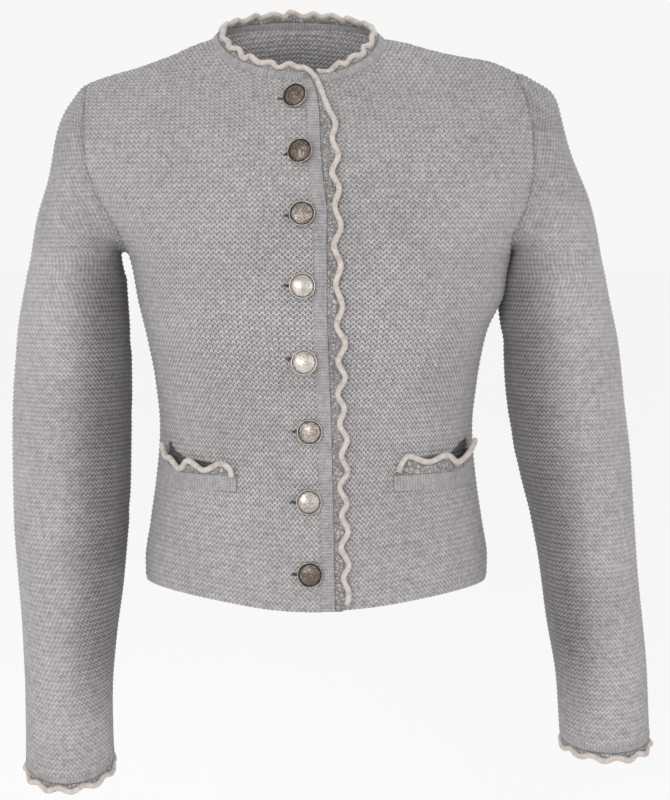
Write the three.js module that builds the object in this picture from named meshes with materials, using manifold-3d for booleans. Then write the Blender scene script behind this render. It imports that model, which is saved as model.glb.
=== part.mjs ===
// A short fitted knit cardigan as it hangs on a standing figure: hollow body, two long sleeves, eight
// metal buttons, and a grey edging with a cream cord along the right front, the neck, pockets and cuffs.
// Millimetres. +Z is up, -Y is the front, +X is the wearer's left. The origin is the middle of the neck
// base, level with the two neck ends of the shoulder seams, where the wearer holds the garment up.
import * as THREE from "three";
import { mergeVertices } from "three/addons/utils/BufferGeometryUtils.js";
import Module from "manifold-3d";

const wasm = await Module();
wasm.setup();

// ---- Driving dimensions -------------------------------------------------------------------------

const CLOTH = 3; // thickness of the garter-stitch cloth
const SEAM = 0.3; // gap between two pieces that are sewn together
const HEM_SIDE_Z = -463; // height of the hem at the side seams
const HEM_DROP = { front: 12, back: 3, width: 300 }; // how much lower the hem is at the centre
const UNDERARM_Z = -186;
const NECK_HALF = 73; // from the centre line to the neck end of a shoulder seam
const NECK_SEAM = { side: -2, front: -42, back: 10 }; // heights of the neck seam
const NECK_BACK_DEPTH = 47; // from the neck ends of the shoulder seams to the back of the neck seam
const NECK_TOP = { half: 62, front: 58, back: 41, sideZ: 14, frontZ: -29, backZ: 27, power: 1.3 };
const NECK_RISES_OVER = 0.6; // radians round the neck in which the flat band comes to stand up
const SHOULDER_END = 183; // from the centre line to the shoulder end of the seam
const SECTION_POWER = 2.35; // 2 would make each body section an ellipse
const SHOULDER_ROLL = { reach: 120, power: 0.6 }; // how the body rounds over to the shoulder seam
const BUST = { height: 5, across: 74, z: -214, spread: 46 };

// The fronts overlap: the right one lies on the left one and carries the edging.
const RIGHT_EDGE = 9.3; // where the right front's cloth ends, past the button line
const LEFT_UNDERLAP = 20; // how far the left front runs on beneath the right one
const OVERLAP_LIFT = { height: 3.7, full: 28, none: 78 };
const UNDERLAP_SINK = { depth: 0.8, full: 36, none: 66 };

const BAND = { front: 10.5, neck: 8, thick: CLOTH };
const BAND_START = { front: 0.7, neck: 1.8, cuff: 0.7 }; // from the cloth's edge
const CORD_GAP = { front: 0.45, neck: 1.15, cuff: 1.1 }; // from the scallops to the cord
const SCALLOPS = { thick: 2, sink: 0.6, wave: 3.5, neckWave: 2.2, cuffWave: 2.2 };
const CORD = { radius: 2.3, sides: 6, sink: 0.4 };
const CORD_LINE = { front: 19, neck: 14.5, cuff: 12.5, pocket: 22 }; // from the cloth to the cord
const CORD_STOP = 0.62; // radians round the neck, where the cord ends before the centre front
const WAVE_LENGTH = 27;
const STEPS_PER_WAVE = 5;

const BUTTON = { radius: 9.8, back: 0.9, rim: 1.4, dome: 4.2, shank: 1.8, sides: 12 };
const RIM_ROLL = { back: 0.7, top: 0.5, inside: 1.1 }; // how far the rim's corners stand in
const DOME_STEPS = [
  { radius: 0.62, height: 0.78 },
  { radius: 0.3, height: 0.96 },
]; // shares of the button's radius and of the dome's height
const BUTTON_HEIGHTS = [-54, -100, -150.5, -207.5, -267, -327.5, -385, -441.5];
const BUTTONHOLE = { reach: 14.5, slit: 1.8, eye: 2.5, through: 16 };

const POCKET = { inner: 66, outerAngle: 80, bottomZ: -377, welt: 12, thick: 2.4, clear: 0.7, waves: 3 };
const POCKET_GAPE = { most: 2.4, ends: 0.1 }; // the welt stands open, least at its ends
const POCKET_WAVE = { height: 3.15, start: 0.9, rise: 9, risesFrom: 0.6 }; // it rises towards the side
const CUFF = { band: 7, bandThick: 2.8, waves: 9, measuredOver: 12 };

// Body sections: half width, depth of the front and back from the side seam, and the sideways lean.
const BODY = [
  { z: -470, half: 147.5, front: 106, back: 104, lean: 5.3 },
  { z: -447, half: 148, front: 105.5, back: 104, lean: 5.3 },
  { z: -413, half: 142.8, front: 103, back: 98, lean: 5.3 },
  { z: -378, half: 138, front: 100, back: 92, lean: 5.3 },
  { z: -330, half: 134.6, front: 98.3, back: 88, lean: 5.3 },
  { z: -292, half: 138, front: 102.8, back: 91, lean: 5.3 },
  { z: -258, half: 144.5, front: 113.5, back: 97, lean: 5.3 },
  { z: -224, half: 152.5, front: 123, back: 103, lean: 5.3 },
  { z: -186, half: 160, front: 124.5, back: 107, lean: 5.3 },
  { z: -172, half: 169, front: 122.5, back: 108, lean: 5.3 },
  { z: -150, half: 185, front: 117.5, back: 108.5, lean: 5.3 },
  { z: -129, half: 200, front: 109.5, back: 108, lean: 3 },
  { z: -105, half: 212, front: 99.5, back: 105, lean: 0.5 },
  { z: -76, half: 222, front: 86, back: 96, lean: -1 },
  { z: -50, half: 225, front: 73, back: 84, lean: -4 },
  { z: -36, half: 225, front: 66.5, back: 77, lean: -6.5 },
  { z: 0, half: 225, front: 53, back: 62, lean: -10 },
  { z: 30, half: 225, front: 44, back: 56, lean: -12 },
];

// Where the line of buttons runs, from the middle of the body.
const BUTTON_LINE = [
  { z: -470, across: -3.5 },
  { z: -330, across: -6.4 },
  { z: -208, across: -10 },
  { z: -100, across: -10 },
  { z: -42, across: -9 },
];

// The armhole edge seen from the front, and the shoulder seams from the neck outwards. The wearer
// holds the right shoulder lower.
const ARMHOLE = [
  { z: -186, across: 160 },
  { z: -172, across: 163.5 },
  { z: -150, across: 174 },
  { z: -129, across: 182.5 },
  { z: -105, across: 187.5 },
  { z: -76, across: 188 },
  { z: -50, across: 186 },
  { z: -36, across: 183 },
];
const RIGHT_SHOULDER = [
  { across: 73, z: -2 },
  { across: 90, z: -8 },
  { across: 106, z: -15 },
  { across: 122, z: -20.5 },
  { across: 140, z: -26.5 },
  { across: 160, z: -32 },
  { across: 183, z: -39.5 },
  { across: 200, z: -48 },
];
const LEFT_SHOULDER = [
  { across: 73, z: -2 },
  { across: 90, z: -5 },
  { across: 106, z: -9.5 },
  { across: 122, z: -13.5 },
  { across: 140, z: -17 },
  { across: 160, z: -20.5 },
  { across: 183, z: -30.5 },
  { across: 200, z: -39.5 },
];
// The form above the neck seam, inside the neck ends, and how soon its steep back fades downwards.
const NECK_RISE = { height: 60, power: 1.5, fade: 22 };
// How a panel's columns, upright at the hem, turn to follow the armhole and the neck.
const COLUMN_TURN = { from: -256, to: -76, angle: 56, power: 6, neckBy: -50 };

// Sleeve sections below the underarm: outer and inner edge, centre and half depth, and how far the
// section's front is tipped down.
const RIGHT_SLEEVE = [
  { z: -205, outer: -243, inner: -157.5, midY: 1, deep: 50, tip: 0 },
  { z: -258, outer: -252.5, inner: -155, midY: 3, deep: 54, tip: 0 },
  { z: -310, outer: -256.5, inner: -154.5, midY: 5, deep: 54, tip: 0 },
  { z: -361, outer: -257.5, inner: -155.5, midY: 6, deep: 52, tip: 0 },
  { z: -413, outer: -256.5, inner: -157.5, midY: 4, deep: 50, tip: 2 },
  { z: -464, outer: -253, inner: -162, midY: -2, deep: 47, tip: 5 },
  { z: -516, outer: -248, inner: -168, midY: -10, deep: 43, tip: 10 },
  { z: -560, outer: -245, inner: -171, midY: -18, deep: 40.5, tip: 15 },
  { z: -611, outer: -244.5, inner: -169.5, midY: -26.5, deep: 40, tip: 20 },
];
const LEFT_SLEEVE = [
  { z: -205, outer: 254, inner: 164.5, midY: 1, deep: 50, tip: 0 },
  { z: -228, outer: 258.5, inner: 162.5, midY: 2, deep: 52, tip: 0 },
  { z: -255, outer: 264, inner: 166, midY: 3, deep: 53, tip: 0 },
  { z: -292, outer: 269, inner: 168, midY: 5, deep: 54, tip: 0 },
  { z: -327, outer: 273.5, inner: 172.5, midY: 6, deep: 53, tip: 0 },
  { z: -361, outer: 277.5, inner: 179.5, midY: 6, deep: 51, tip: 1 },
  { z: -404, outer: 280, inner: 190, midY: 4, deep: 48.5, tip: 2 },
  { z: -447, outer: 283, inner: 198, midY: -1, deep: 46, tip: 4 },
  { z: -499, outer: 287, inner: 205, midY: -9, deep: 43.5, tip: 6 },
  { z: -550, outer: 291, inner: 213, midY: -17, deep: 41, tip: 8 },
  { z: -591, outer: 292, inner: 215.5, midY: -25, deep: 40.5, tip: 10 },
];
// How strongly each sleeve's cap leaves the armhole, at the shoulder and beneath the arm.
const CAP_START = { top: { right: 112, left: 160 }, underarm: 26, outward: 0.8 };
const CAP_END = 0.75; // and how strongly it runs into the sleeve, as a share of its length

// How finely each piece is divided.
const FRONT_COLUMNS = { neck: 7, shoulder: 6 };
const BACK_COLUMNS = { neck: 5, shoulder: 5 };
const ROWS = { body: 11, armhole: 10, crowding: 2.4 }; // rows crowd together towards the seams
const SLEEVE_RINGS = { cap: 6, tube: 10 };
const CUFF_STEPS = 24;

const GREY = new THREE.MeshStandardMaterial({ color: 0xa7a2a1, roughness: 0.95, metalness: 0 });
const PALE_GREY = new THREE.MeshStandardMaterial({ color: 0xa5a3a4, roughness: 0.95, metalness: 0 });
const CREAM = new THREE.MeshStandardMaterial({ color: 0xcdc5bc, roughness: 0.9, metalness: 0 });
const OLD_SILVER = new THREE.MeshStandardMaterial({ color: 0x8d8073, roughness: 0.35, metalness: 1 });

// ---- Small helpers ------------------------------------------------------------------------------

const vec = (x, y, z) => new THREE.Vector3(x, y, z);
const mix = (a, b, t) => a + (b - a) * t;
const clamp = (v, low, high) => Math.min(Math.max(v, low), high);
const radians = THREE.MathUtils.degToRad;
const smooth = THREE.MathUtils.smoothstep;
const range = (n) => Array.from({ length: n }, (_, i) => i);

// The value of a table's column at key, on a smooth curve through its rows.
function tableAt(table, keyName, column, key) {
  const rising = table[1][keyName] > table[0][keyName] ? 1 : -1;
  const last = table.length - 1;
  let i = 0;
  while (i < last - 1 && (key - table[i + 1][keyName]) * rising > 0) i++;
  const k = (row) => table[clamp(row, 0, last)][keyName];
  const v = (row) => table[clamp(row, 0, last)][column];
  const span = k(i + 1) - k(i);
  const slope = (row) => {
    const before = row > 0 ? (v(row) - v(row - 1)) / (k(row) - k(row - 1)) : null;
    const after = row < last ? (v(row + 1) - v(row)) / (k(row + 1) - k(row)) : null;
    if (before === null) return after;
    if (after === null) return before;
    return before * after <= 0 ? 0 : (2 * before * after) / (before + after);
  };
  const t = (key - k(i)) / span;
  if (t < 0) return v(i) + slope(i) * (key - k(i));
  if (t > 1) return v(i + 1) + slope(i + 1) * (key - k(i + 1));
  const t2 = t * t;
  const t3 = t2 * t;
  return (
    (2 * t3 - 3 * t2 + 1) * v(i) +
    (t3 - 2 * t2 + t) * span * slope(i) +
    (3 * t2 - 2 * t3) * v(i + 1) +
    (t3 - t2) * span * slope(i + 1)
  );
}

// count + 1 points at even distances along a dense line of points.
function spread(line, count) {
  const along = [0];
  for (let i = 1; i < line.length; i++) along.push(along[i - 1] + line[i].distanceTo(line[i - 1]));
  let at = 1;
  return range(count + 1).map((k) => {
    const want = (along[along.length - 1] * k) / count;
    while (at < line.length - 1 && along[at] < want) at++;
    const t = (want - along[at - 1]) / (along[at] - along[at - 1]);
    return line[at - 1].clone().lerp(line[at], clamp(t, 0, 1));
  });
}

// A closed mesh from points and triangles, turned so that its faces point out.
function closedMesh(points, triangles) {
  let volume = 0;
  for (const [a, b, c] of triangles) {
    volume += points[a].dot(points[b].clone().cross(points[c]));
  }
  const order = volume < 0 ? triangles.map(([a, b, c]) => [a, c, b]) : triangles;
  const geometry = new THREE.BufferGeometry();
  const flat = points.flatMap((p) => [p.x, p.y, p.z]);
  geometry.setAttribute("position", new THREE.Float32BufferAttribute(flat, 3));
  geometry.setIndex(order.flat());
  geometry.computeVertexNormals();
  return geometry;
}

// The unit normal at each point of a grid, pointing to the side given by facing.
function gridNormals(grid, wraps, facing) {
  const rows = grid.length;
  const columns = grid[0].length;
  return grid.map((row, r) =>
    row.map((point, c) => {
      const left = wraps ? row[(c + columns - 1) % columns] : row[Math.max(c - 1, 0)];
      const right = wraps ? row[(c + 1) % columns] : row[Math.min(c + 1, columns - 1)];
      const below = grid[Math.max(r - 1, 0)][c];
      const above = grid[Math.min(r + 1, rows - 1)][c];
      const normal = right.clone().sub(left).cross(above.clone().sub(below)).normalize();
      return normal.multiplyScalar(facing);
    }),
  );
}

// A wall between two grids of the same size. With wraps, each row is a closed ring.
function wallBetween(outer, inner, wraps) {
  const rows = outer.length;
  const columns = outer[0].length;
  const points = [...outer.flat(), ...inner.flat()];
  const triangles = [];
  const at = (side, r, c) => side * rows * columns + r * columns + (c % columns);
  // Each four-sided face is split along its shorter diagonal, so that facing edges are split alike.
  const quad = (a, b, c, d) => {
    const acrossIt = points[a].distanceTo(points[c]) - points[b].distanceTo(points[d]);
    if (acrossIt <= 1e-6) triangles.push([a, b, c], [a, c, d]);
    else triangles.push([a, b, d], [b, c, d]);
  };
  const across = wraps ? columns : columns - 1;
  for (let r = 0; r < rows - 1; r++) {
    for (let c = 0; c < across; c++) {
      quad(at(0, r, c), at(0, r, c + 1), at(0, r + 1, c + 1), at(0, r + 1, c));
      quad(at(1, r, c), at(1, r + 1, c), at(1, r + 1, c + 1), at(1, r, c + 1));
    }
  }
  for (let c = 0; c < across; c++) {
    quad(at(0, 0, c), at(1, 0, c), at(1, 0, c + 1), at(0, 0, c + 1));
    quad(at(0, rows - 1, c), at(0, rows - 1, c + 1), at(1, rows - 1, c + 1), at(1, rows - 1, c));
  }
  if (!wraps) {
    for (let r = 0; r < rows - 1; r++) {
      quad(at(0, r, 0), at(0, r + 1, 0), at(1, r + 1, 0), at(1, r, 0));
      quad(at(0, r, across), at(1, r, across), at(1, r + 1, across), at(0, r + 1, across));
    }
  }
  return closedMesh(points, triangles);
}

const offsetGrid = (grid, normals, distance) =>
  grid.map((row, r) => row.map((p, c) => p.clone().addScaledVector(normals[r][c], distance)));

// A round cord through a line of points, with flat ends unless it is a closed ring.
function cordAlong(line, closed) {
  const count = line.length;
  const before = (i) => (closed ? line[(i + count - 1) % count] : line[Math.max(i - 1, 0)]);
  const after = (i) => (closed ? line[(i + 1) % count] : line[Math.min(i + 1, count - 1)]);
  const points = [];
  const triangles = [];
  line.forEach((p, i) => {
    const ahead = after(i).point.clone().sub(before(i).point).normalize();
    const side = p.normal.clone().cross(ahead).normalize();
    const up = ahead.clone().cross(side);
    for (const k of range(CORD.sides)) {
      const turn = (2 * Math.PI * (k + 0.5)) / CORD.sides;
      const across = CORD.radius * Math.cos(turn);
      const high = CORD.radius * Math.sin(turn);
      points.push(p.point.clone().addScaledVector(side, across).addScaledVector(up, high));
    }
  });
  const at = (i, k) => (i % count) * CORD.sides + (k % CORD.sides);
  for (let i = 0; i < (closed ? count : count - 1); i++) {
    for (const k of range(CORD.sides)) {
      triangles.push([at(i, k), at(i, k + 1), at(i + 1, k + 1)]);
      triangles.push([at(i, k), at(i + 1, k + 1), at(i + 1, k)]);
    }
  }
  if (!closed) {
    for (let k = 1; k < CORD.sides - 1; k++) {
      triangles.push([at(0, 0), at(0, k + 1), at(0, k)]);
      triangles.push([at(count - 1, 0), at(count - 1, k), at(count - 1, k + 1)]);
    }
  }
  return closedMesh(points, triangles);
}

// ---- The body's form ----------------------------------------------------------------------------

const body = (column, z) => tableAt(BODY, "z", column, z);
const armholeAt = (z) => tableAt(ARMHOLE, "z", "across", Math.min(z, ARMHOLE.at(-1).z));

// The height of the form's top edge at a distance from the centre line, below 0 on the right.
function topOfForm(across) {
  const away = Math.abs(across);
  if (away >= NECK_HALF) return tableAt(across < 0 ? RIGHT_SHOULDER : LEFT_SHOULDER, "across", "z", away);
  return NECK_SEAM.side + NECK_RISE.height * (1 - away / NECK_HALF) ** NECK_RISE.power;
}

// The height of the neck seam at a distance from the centre line, on the front or the back.
function neckSeamAt(across, isBack) {
  const share = Math.sqrt(Math.max(0, 1 - (across / NECK_HALF) ** 2));
  return mix(NECK_SEAM.side, isBack ? NECK_SEAM.back : NECK_SEAM.front, share);
}

const topAt = (across, isBack) =>
  Math.abs(across) >= NECK_HALF - 1e-6 ? topOfForm(across) : neckSeamAt(across, isBack);

// How far a point hangs below the form's top edge. Near the back of the neck the form is steeper, so
// that the neck seam is an ellipse in plan.
function hangAt(isBack, across, z) {
  const plain = topOfForm(across) - z;
  if (!isBack || Math.abs(across) >= NECK_HALF) return Math.max(0, plain);
  const seam = neckSeamAt(across, true);
  const deep = NECK_BACK_DEPTH * Math.sqrt(1 - (across / NECK_HALF) ** 2);
  const share = Math.min(deep / body("back", seam), 1) ** (1 / SHOULDER_ROLL.power);
  const steep = seam - z + SHOULDER_ROLL.reach * (1 - Math.sqrt(1 - share));
  return Math.max(0, mix(plain, steep, Math.min(1, Math.exp((z - seam) / NECK_RISE.fade))));
}

// A point of the body's outer surface. angle is 0 at the centre line and 90 degrees at the side seam.
function bodyPoint(isBack, angle, z) {
  const across = body("half", z) * Math.sin(angle);
  const hang = hangAt(isBack, across, z) / SHOULDER_ROLL.reach;
  const roll = (1 - (1 - Math.min(hang, 1)) ** 2) ** SHOULDER_ROLL.power;
  const round = Math.sqrt(Math.max(0, 1 - Math.abs(Math.sin(angle)) ** SECTION_POWER));
  let deep = body(isBack ? "back" : "front", z) * round * roll;
  if (!isBack) {
    const away = ((Math.abs(across) - BUST.across) ** 2 + (z - BUST.z) ** 2) / BUST.spread ** 2;
    deep += BUST.height * Math.exp(-away) * round;
  }
  return vec(across + body("lean", z), isBack ? deep : -deep, z);
}

const angleAt = (across, z) => Math.asin(clamp(across / body("half", z), -1, 1));

// The outward normal of the body's surface at an angle and height.
function bodyNormal(isBack, angle, z) {
  const d = 0.01;
  const across = bodyPoint(isBack, angle + d, z).sub(bodyPoint(isBack, angle - d, z));
  const up = bodyPoint(isBack, angle, z + 1).sub(bodyPoint(isBack, angle, z - 1));
  return across.cross(up).normalize().multiplyScalar(isBack ? -1 : 1);
}

// How far the right front is lifted by the left front beneath it; beyond is measured towards its side.
const liftAt = (beyond) =>
  OVERLAP_LIFT.height * (1 - smooth(beyond, OVERLAP_LIFT.full, OVERLAP_LIFT.none));
const sinkAt = (beyond) =>
  -UNDERLAP_SINK.depth * (1 - smooth(beyond, UNDERLAP_SINK.full, UNDERLAP_SINK.none));

const hemAt = (across, isBack) =>
  HEM_SIDE_Z -
  HEM_DROP[isBack ? "back" : "front"] * Math.cos((Math.PI * across) / HEM_DROP.width) ** 2;

const buttonLine = (z) => tableAt(BUTTON_LINE, "z", "across", z);

// ---- Body panels --------------------------------------------------------------------------------

// The angle of a column. Its share of the way from the centre edge to the side runs from low, at the
// hem, to high, at the top.
function columnAngle(column, edgeAt, z) {
  const start = angleAt(edgeAt(z), z);
  const exact = z <= UNDERARM_Z ? Math.PI / 2 : angleAt(armholeAt(z), z);
  const turned = smooth(z, COLUMN_TURN.from, COLUMN_TURN.to);
  const eased = mix(Math.PI / 2, radians(COLUMN_TURN.angle), turned);
  const share = mix(column.low, column.high, smooth(z, UNDERARM_Z, COLUMN_TURN.neckBy));
  return start + (mix(eased, exact, share ** COLUMN_TURN.power) - start) * share;
}

// One column of a panel, from the hem to the neck or shoulder seam.
function panelColumn(isBack, side, edgeAt, column) {
  const pointAt = (z) => bodyPoint(isBack, side * columnAngle(column, edgeAt, z), z);
  const acrossAt = (z) => body("half", z) * Math.sin(columnAngle(column, edgeAt, z));
  let low = NECK_SEAM.front * 2;
  let high = NECK_TOP.backZ;
  for (let i = 0; i < 50; i++) {
    const z = (low + high) / 2;
    if (z < topAt(side * acrossAt(z), isBack)) low = z;
    else high = z;
  }
  const top = low;
  const hem = hemAt(acrossAt(HEM_SIDE_Z), isBack);
  const dense = 160;
  const lower = range(dense + 1).map((i) => pointAt(mix(hem, UNDERARM_Z, i / dense)));
  const upper = range(dense + 1).map((i) =>
    pointAt(mix(UNDERARM_Z, top, 1 - (1 - i / dense) ** ROWS.crowding)),
  );
  return [...spread(lower, ROWS.body), ...spread(upper, ROWS.armhole).slice(1)];
}

// The columns of a panel. At the top they are spaced round the neck seam, and one of them meets the
// neck end of the shoulder seam.
function panelColumns(edge, counts) {
  const top = (across) => angleAt(across, NECK_SEAM.side);
  const shareOf = (across) => (top(across) - top(edge)) / (top(SHOULDER_END) - top(edge));
  const neckStart = Math.asin(edge / NECK_HALF);
  const total = counts.neck + counts.shoulder;
  return range(total + 1).map((i) => {
    const turn = mix(neckStart, Math.PI / 2, Math.min(1, i / counts.neck));
    const neck = shareOf(NECK_HALF * Math.sin(turn));
    const shoulder = mix(shareOf(NECK_HALF), 1, (i - counts.neck) / counts.shoulder);
    return { low: i / total, high: i < counts.neck ? neck : shoulder };
  });
}

// The outer and inner points of a panel, as rows of points from the hem up. lift gives how far the
// cloth is raised at a distance from the centre line.
function panelGrids(isBack, side, columns, lift) {
  const rows = columns[0].length;
  const grid = range(rows).map((r) => columns.map((column) => column[r].clone()));
  const facing = isBack ? -side : side;
  const normals = gridNormals(grid, false, facing);
  // At the side and shoulder seams the cloth's edge stands square to the seam's plane.
  normals.forEach((row, r) =>
    row.forEach((normal, c) => {
      const onSeam = Math.abs(grid[r][c].y) < 1e-3;
      if (onSeam) normal.setY(0).normalize();
    }),
  );
  grid.forEach((row, r) =>
    row.forEach((point, c) => {
      const beyond = side * (point.x - body("lean", point.z));
      point.addScaledVector(normals[r][c], lift(beyond));
    }),
  );
  const apart = vec(0, ((isBack ? 1 : -1) * SEAM) / 2, 0);
  grid.forEach((row) => row.forEach((point) => point.add(apart)));
  return { outer: grid, inner: offsetGrid(grid, normals, -CLOTH), normals };
}

// A front. past is how far its edge reaches beyond the line of buttons.
function frontPanel(side, past, lift) {
  const edgeAt = (z) => side * buttonLine(z) - past;
  const columns = panelColumns(edgeAt(NECK_SEAM.front), FRONT_COLUMNS);
  return panelGrids(false, side, columns.map((c) => panelColumn(false, side, edgeAt, c)), lift);
}

function backPanel() {
  const columns = panelColumns(0, BACK_COLUMNS);
  const right = columns.slice(1).reverse().map((c) => panelColumn(true, -1, () => 0, c));
  const left = columns.map((c) => panelColumn(true, 1, () => 0, c));
  return panelGrids(true, 1, [...right, ...left], () => 0);
}

// ---- Sleeves ------------------------------------------------------------------------------------

// A ring point of a sleeve below the underarm. turn is 0 on the outside and 90 degrees at the front.
function sleevePoint(table, z, turn) {
  const at = (column) => tableAt(table, "z", column, z);
  const half = (at("outer") - at("inner")) / 2;
  const tip = radians(at("tip"));
  const ahead = at("deep") * Math.sin(turn);
  const x = (at("outer") + at("inner")) / 2 + half * Math.cos(turn);
  return vec(x, at("midY") - ahead * Math.cos(tip), z - ahead * Math.sin(tip));
}

// The armhole's points, from the shoulder down the front and up the back, for both faces of the cloth.
function armholeRing(front, back, frontColumn, backColumn) {
  const first = ROWS.body;
  const last = ROWS.body + ROWS.armhole;
  const ring = [];
  for (let r = last; r >= first; r--) {
    ring.push({
      outer: front.outer[r][frontColumn],
      inner: front.inner[r][frontColumn],
      normal: front.normals[r][frontColumn],
    });
  }
  for (let r = first + 1; r < last; r++) {
    ring.push({
      outer: back.outer[r][backColumn],
      inner: back.inner[r][backColumn],
      normal: back.normals[r][backColumn],
    });
  }
  return ring;
}

function sleeveGrids(table, side, ring) {
  const count = ring.length;
  const bicep = table[0].z;
  const cuff = table.at(-1).z;
  const turnOf = (j) => (2 * Math.PI * j) / count;
  // The direction in which the cloth runs on past each armhole point.
  const leaving = ring.map((p, j) => {
    const along = ring[(j + 1) % count].outer.clone().sub(ring[(j + count - 1) % count].outer);
    return along.cross(p.normal).normalize().multiplyScalar(-side);
  });
  const cap = ring.map((p, j) => {
    const turn = turnOf(j);
    const start = p.outer;
    const end = sleevePoint(table, bicep, turn);
    const up = (1 + Math.cos(turn)) / 2;
    const outward = vec(side * CAP_START.outward * (1 - up), 0, 0);
    const push = mix(CAP_START.underarm, side < 0 ? CAP_START.top.right : CAP_START.top.left, up);
    const leave = leaving[j].clone().add(outward).multiplyScalar(push);
    const below = sleevePoint(table, bicep - 10, turn).sub(end).normalize();
    const arrive = below.multiplyScalar(CAP_END * start.distanceTo(end));
    return new THREE.CubicBezierCurve3(
      start,
      start.clone().addScaledVector(leave, 1 / 3),
      end.clone().addScaledVector(arrive, -1 / 3),
      end,
    ).getPoints(SLEEVE_RINGS.cap);
  });
  const rings = range(SLEEVE_RINGS.cap + 1).map((r) => cap.map((curve) => curve[r]));
  for (let r = 1; r <= SLEEVE_RINGS.tube; r++) {
    const z = mix(bicep, cuff, r / SLEEVE_RINGS.tube);
    rings.push(range(count).map((j) => sleevePoint(table, z, turnOf(j))));
  }
  const normals = gridNormals(rings, true, side);
  const inner = offsetGrid(rings, normals, -CLOTH);
  // The first ring is the armhole's own edge, moved on by the seam.
  ring.forEach((p, j) => {
    rings[0][j] = p.outer.clone().addScaledVector(leaving[j], SEAM);
    inner[0][j] = p.inner.clone().addScaledVector(leaving[j], SEAM);
  });
  return { outer: rings, inner };
}

// ---- Edging -------------------------------------------------------------------------------------

// The neck seam and the top of the neck band, by the angle round the neck. 0 is the centre front and
// 90 degrees the wearer's right.
function neckSeamPoint(turn) {
  const across = NECK_HALF * Math.abs(Math.sin(turn));
  const isBack = Math.cos(turn) < 0;
  const z = neckSeamAt(across, isBack);
  const side = Math.sin(turn) > 0 ? -1 : 1;
  return bodyPoint(isBack, side * angleAt(across, z), z);
}

function neckTopPoint(turn) {
  const c = Math.cos(turn);
  const deep = c > 0 ? -NECK_TOP.front * c : -NECK_TOP.back * c;
  const middleZ = c > 0 ? NECK_TOP.frontZ : NECK_TOP.backZ;
  const z = mix(NECK_TOP.sideZ, middleZ, Math.abs(c) ** NECK_TOP.power);
  return vec(body("lean", z) - NECK_TOP.half * Math.sin(turn), deep, z);
}

// The edging's line runs up the right front, round the corner and round the neck. Each station says
// which stretch it is in and where, and how far along the cord it lies.
const CORNER_X = RIGHT_EDGE + buttonLine(NECK_SEAM.front);
const CORNER_Z = neckSeamAt(CORNER_X, false);
const NECK_START = -Math.asin(CORNER_X / NECK_HALF);
const NECK_END = 2 * Math.PI + Math.asin((LEFT_UNDERLAP - BAND.neck - CORNER_X) / NECK_HALF);

// A point of the edging: out is measured from the cloth's edge, high from the body's surface.
function edgingBase(station, out) {
  if (station.part === "front") {
    const x = buttonLine(station.z) + RIGHT_EDGE + out;
    return bodyPoint(false, angleAt(x, station.z), station.z);
  }
  const turned = station.part === "corner" ? station.turn : Math.PI / 2;
  const neckTurn = station.part === "neck" ? station.turn : NECK_START;
  const seam = neckSeamPoint(neckTurn);
  const lean = body("lean", seam.z);
  const x = station.part === "neck" ? seam.x - lean : CORNER_X;
  const z = seam.z + out * Math.sin(turned);
  const onBody = bodyPoint(false, angleAt(x + out * Math.cos(turned), z), z);
  if (station.part === "corner") return onBody;
  const up = neckTopPoint(neckTurn).sub(seam).normalize();
  const standing = seam.addScaledVector(up, out);
  const near = 1 - smooth(neckTurn - NECK_START, 0, NECK_RISES_OVER);
  return standing.lerp(onBody, near);
}

const stationLift = (station) => {
  if (station.part !== "neck") return OVERLAP_LIFT.height;
  const across = NECK_HALF * Math.abs(Math.sin(station.turn));
  if (station.turn < Math.PI / 2) return liftAt(across);
  return station.turn > 1.5 * Math.PI ? sinkAt(across) : 0;
};

const isNeck = (station) => station.part === "neck";
const cornerShare = (station) => (station.part === "corner" ? station.turn / (Math.PI / 2) : 0);
const byPart = (station, front, neck) => (isNeck(station) ? neck : mix(front, neck, cornerShare(station)));

// The stations, evenly spaced along the cord's mean line.
function edgingStations() {
  const raw = [];
  const dense = { z: 1.5, corner: 12, turn: 0.02 };
  for (let z = hemAt(0, false) + 1; z < CORNER_Z; z += dense.z) raw.push({ part: "front", z });
  for (const i of range(dense.corner + 1)) {
    raw.push({ part: "corner", turn: (Math.PI / 2) * (i / dense.corner) });
  }
  for (let turn = NECK_START + dense.turn; turn < NECK_END; turn += dense.turn) {
    raw.push({ part: "neck", turn });
  }
  let along = 0;
  let previous = null;
  for (const station of raw) {
    const out = byPart(station, CORD_LINE.front, CORD_LINE.neck);
    const point = edgingBase(station, out);
    if (previous) along += point.distanceTo(previous);
    station.along = along;
    previous = point;
  }
  const step = WAVE_LENGTH / STEPS_PER_WAVE;
  const count = Math.round(along / step);
  let at = 0;
  return range(count + 1).map((k) => {
    const want = (along * k) / count;
    while (at < raw.length - 1 && raw[at].along < want) at++;
    return { ...raw[at], wave: (2 * Math.PI * k) / STEPS_PER_WAVE };
  });
}

// A point and the outward normal there.
function edgingPoint(station, out, high, stations, index) {
  const before = stations[Math.max(index - 1, 0)];
  const after = stations[Math.min(index + 1, stations.length - 1)];
  const along = edgingBase(after, out).sub(edgingBase(before, out));
  const across = edgingBase(station, out + 1).sub(edgingBase(station, out - 1));
  const normal = across.cross(along).normalize();
  const point = edgingBase(station, out).addScaledVector(normal, stationLift(station) + high);
  return { point, normal };
}

function edgingStrip(stations, inside, outside, top, bottom) {
  const line = (out, high) =>
    stations.map((s, i) => edgingPoint(s, out(s), high, stations, i).point);
  const outer = [line(inside, top), line(outside, top)];
  const inner = [line(inside, bottom), line(outside, bottom)];
  return wallBetween(outer, inner, false);
}

// ---- Pockets and cuffs --------------------------------------------------------------------------

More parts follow.
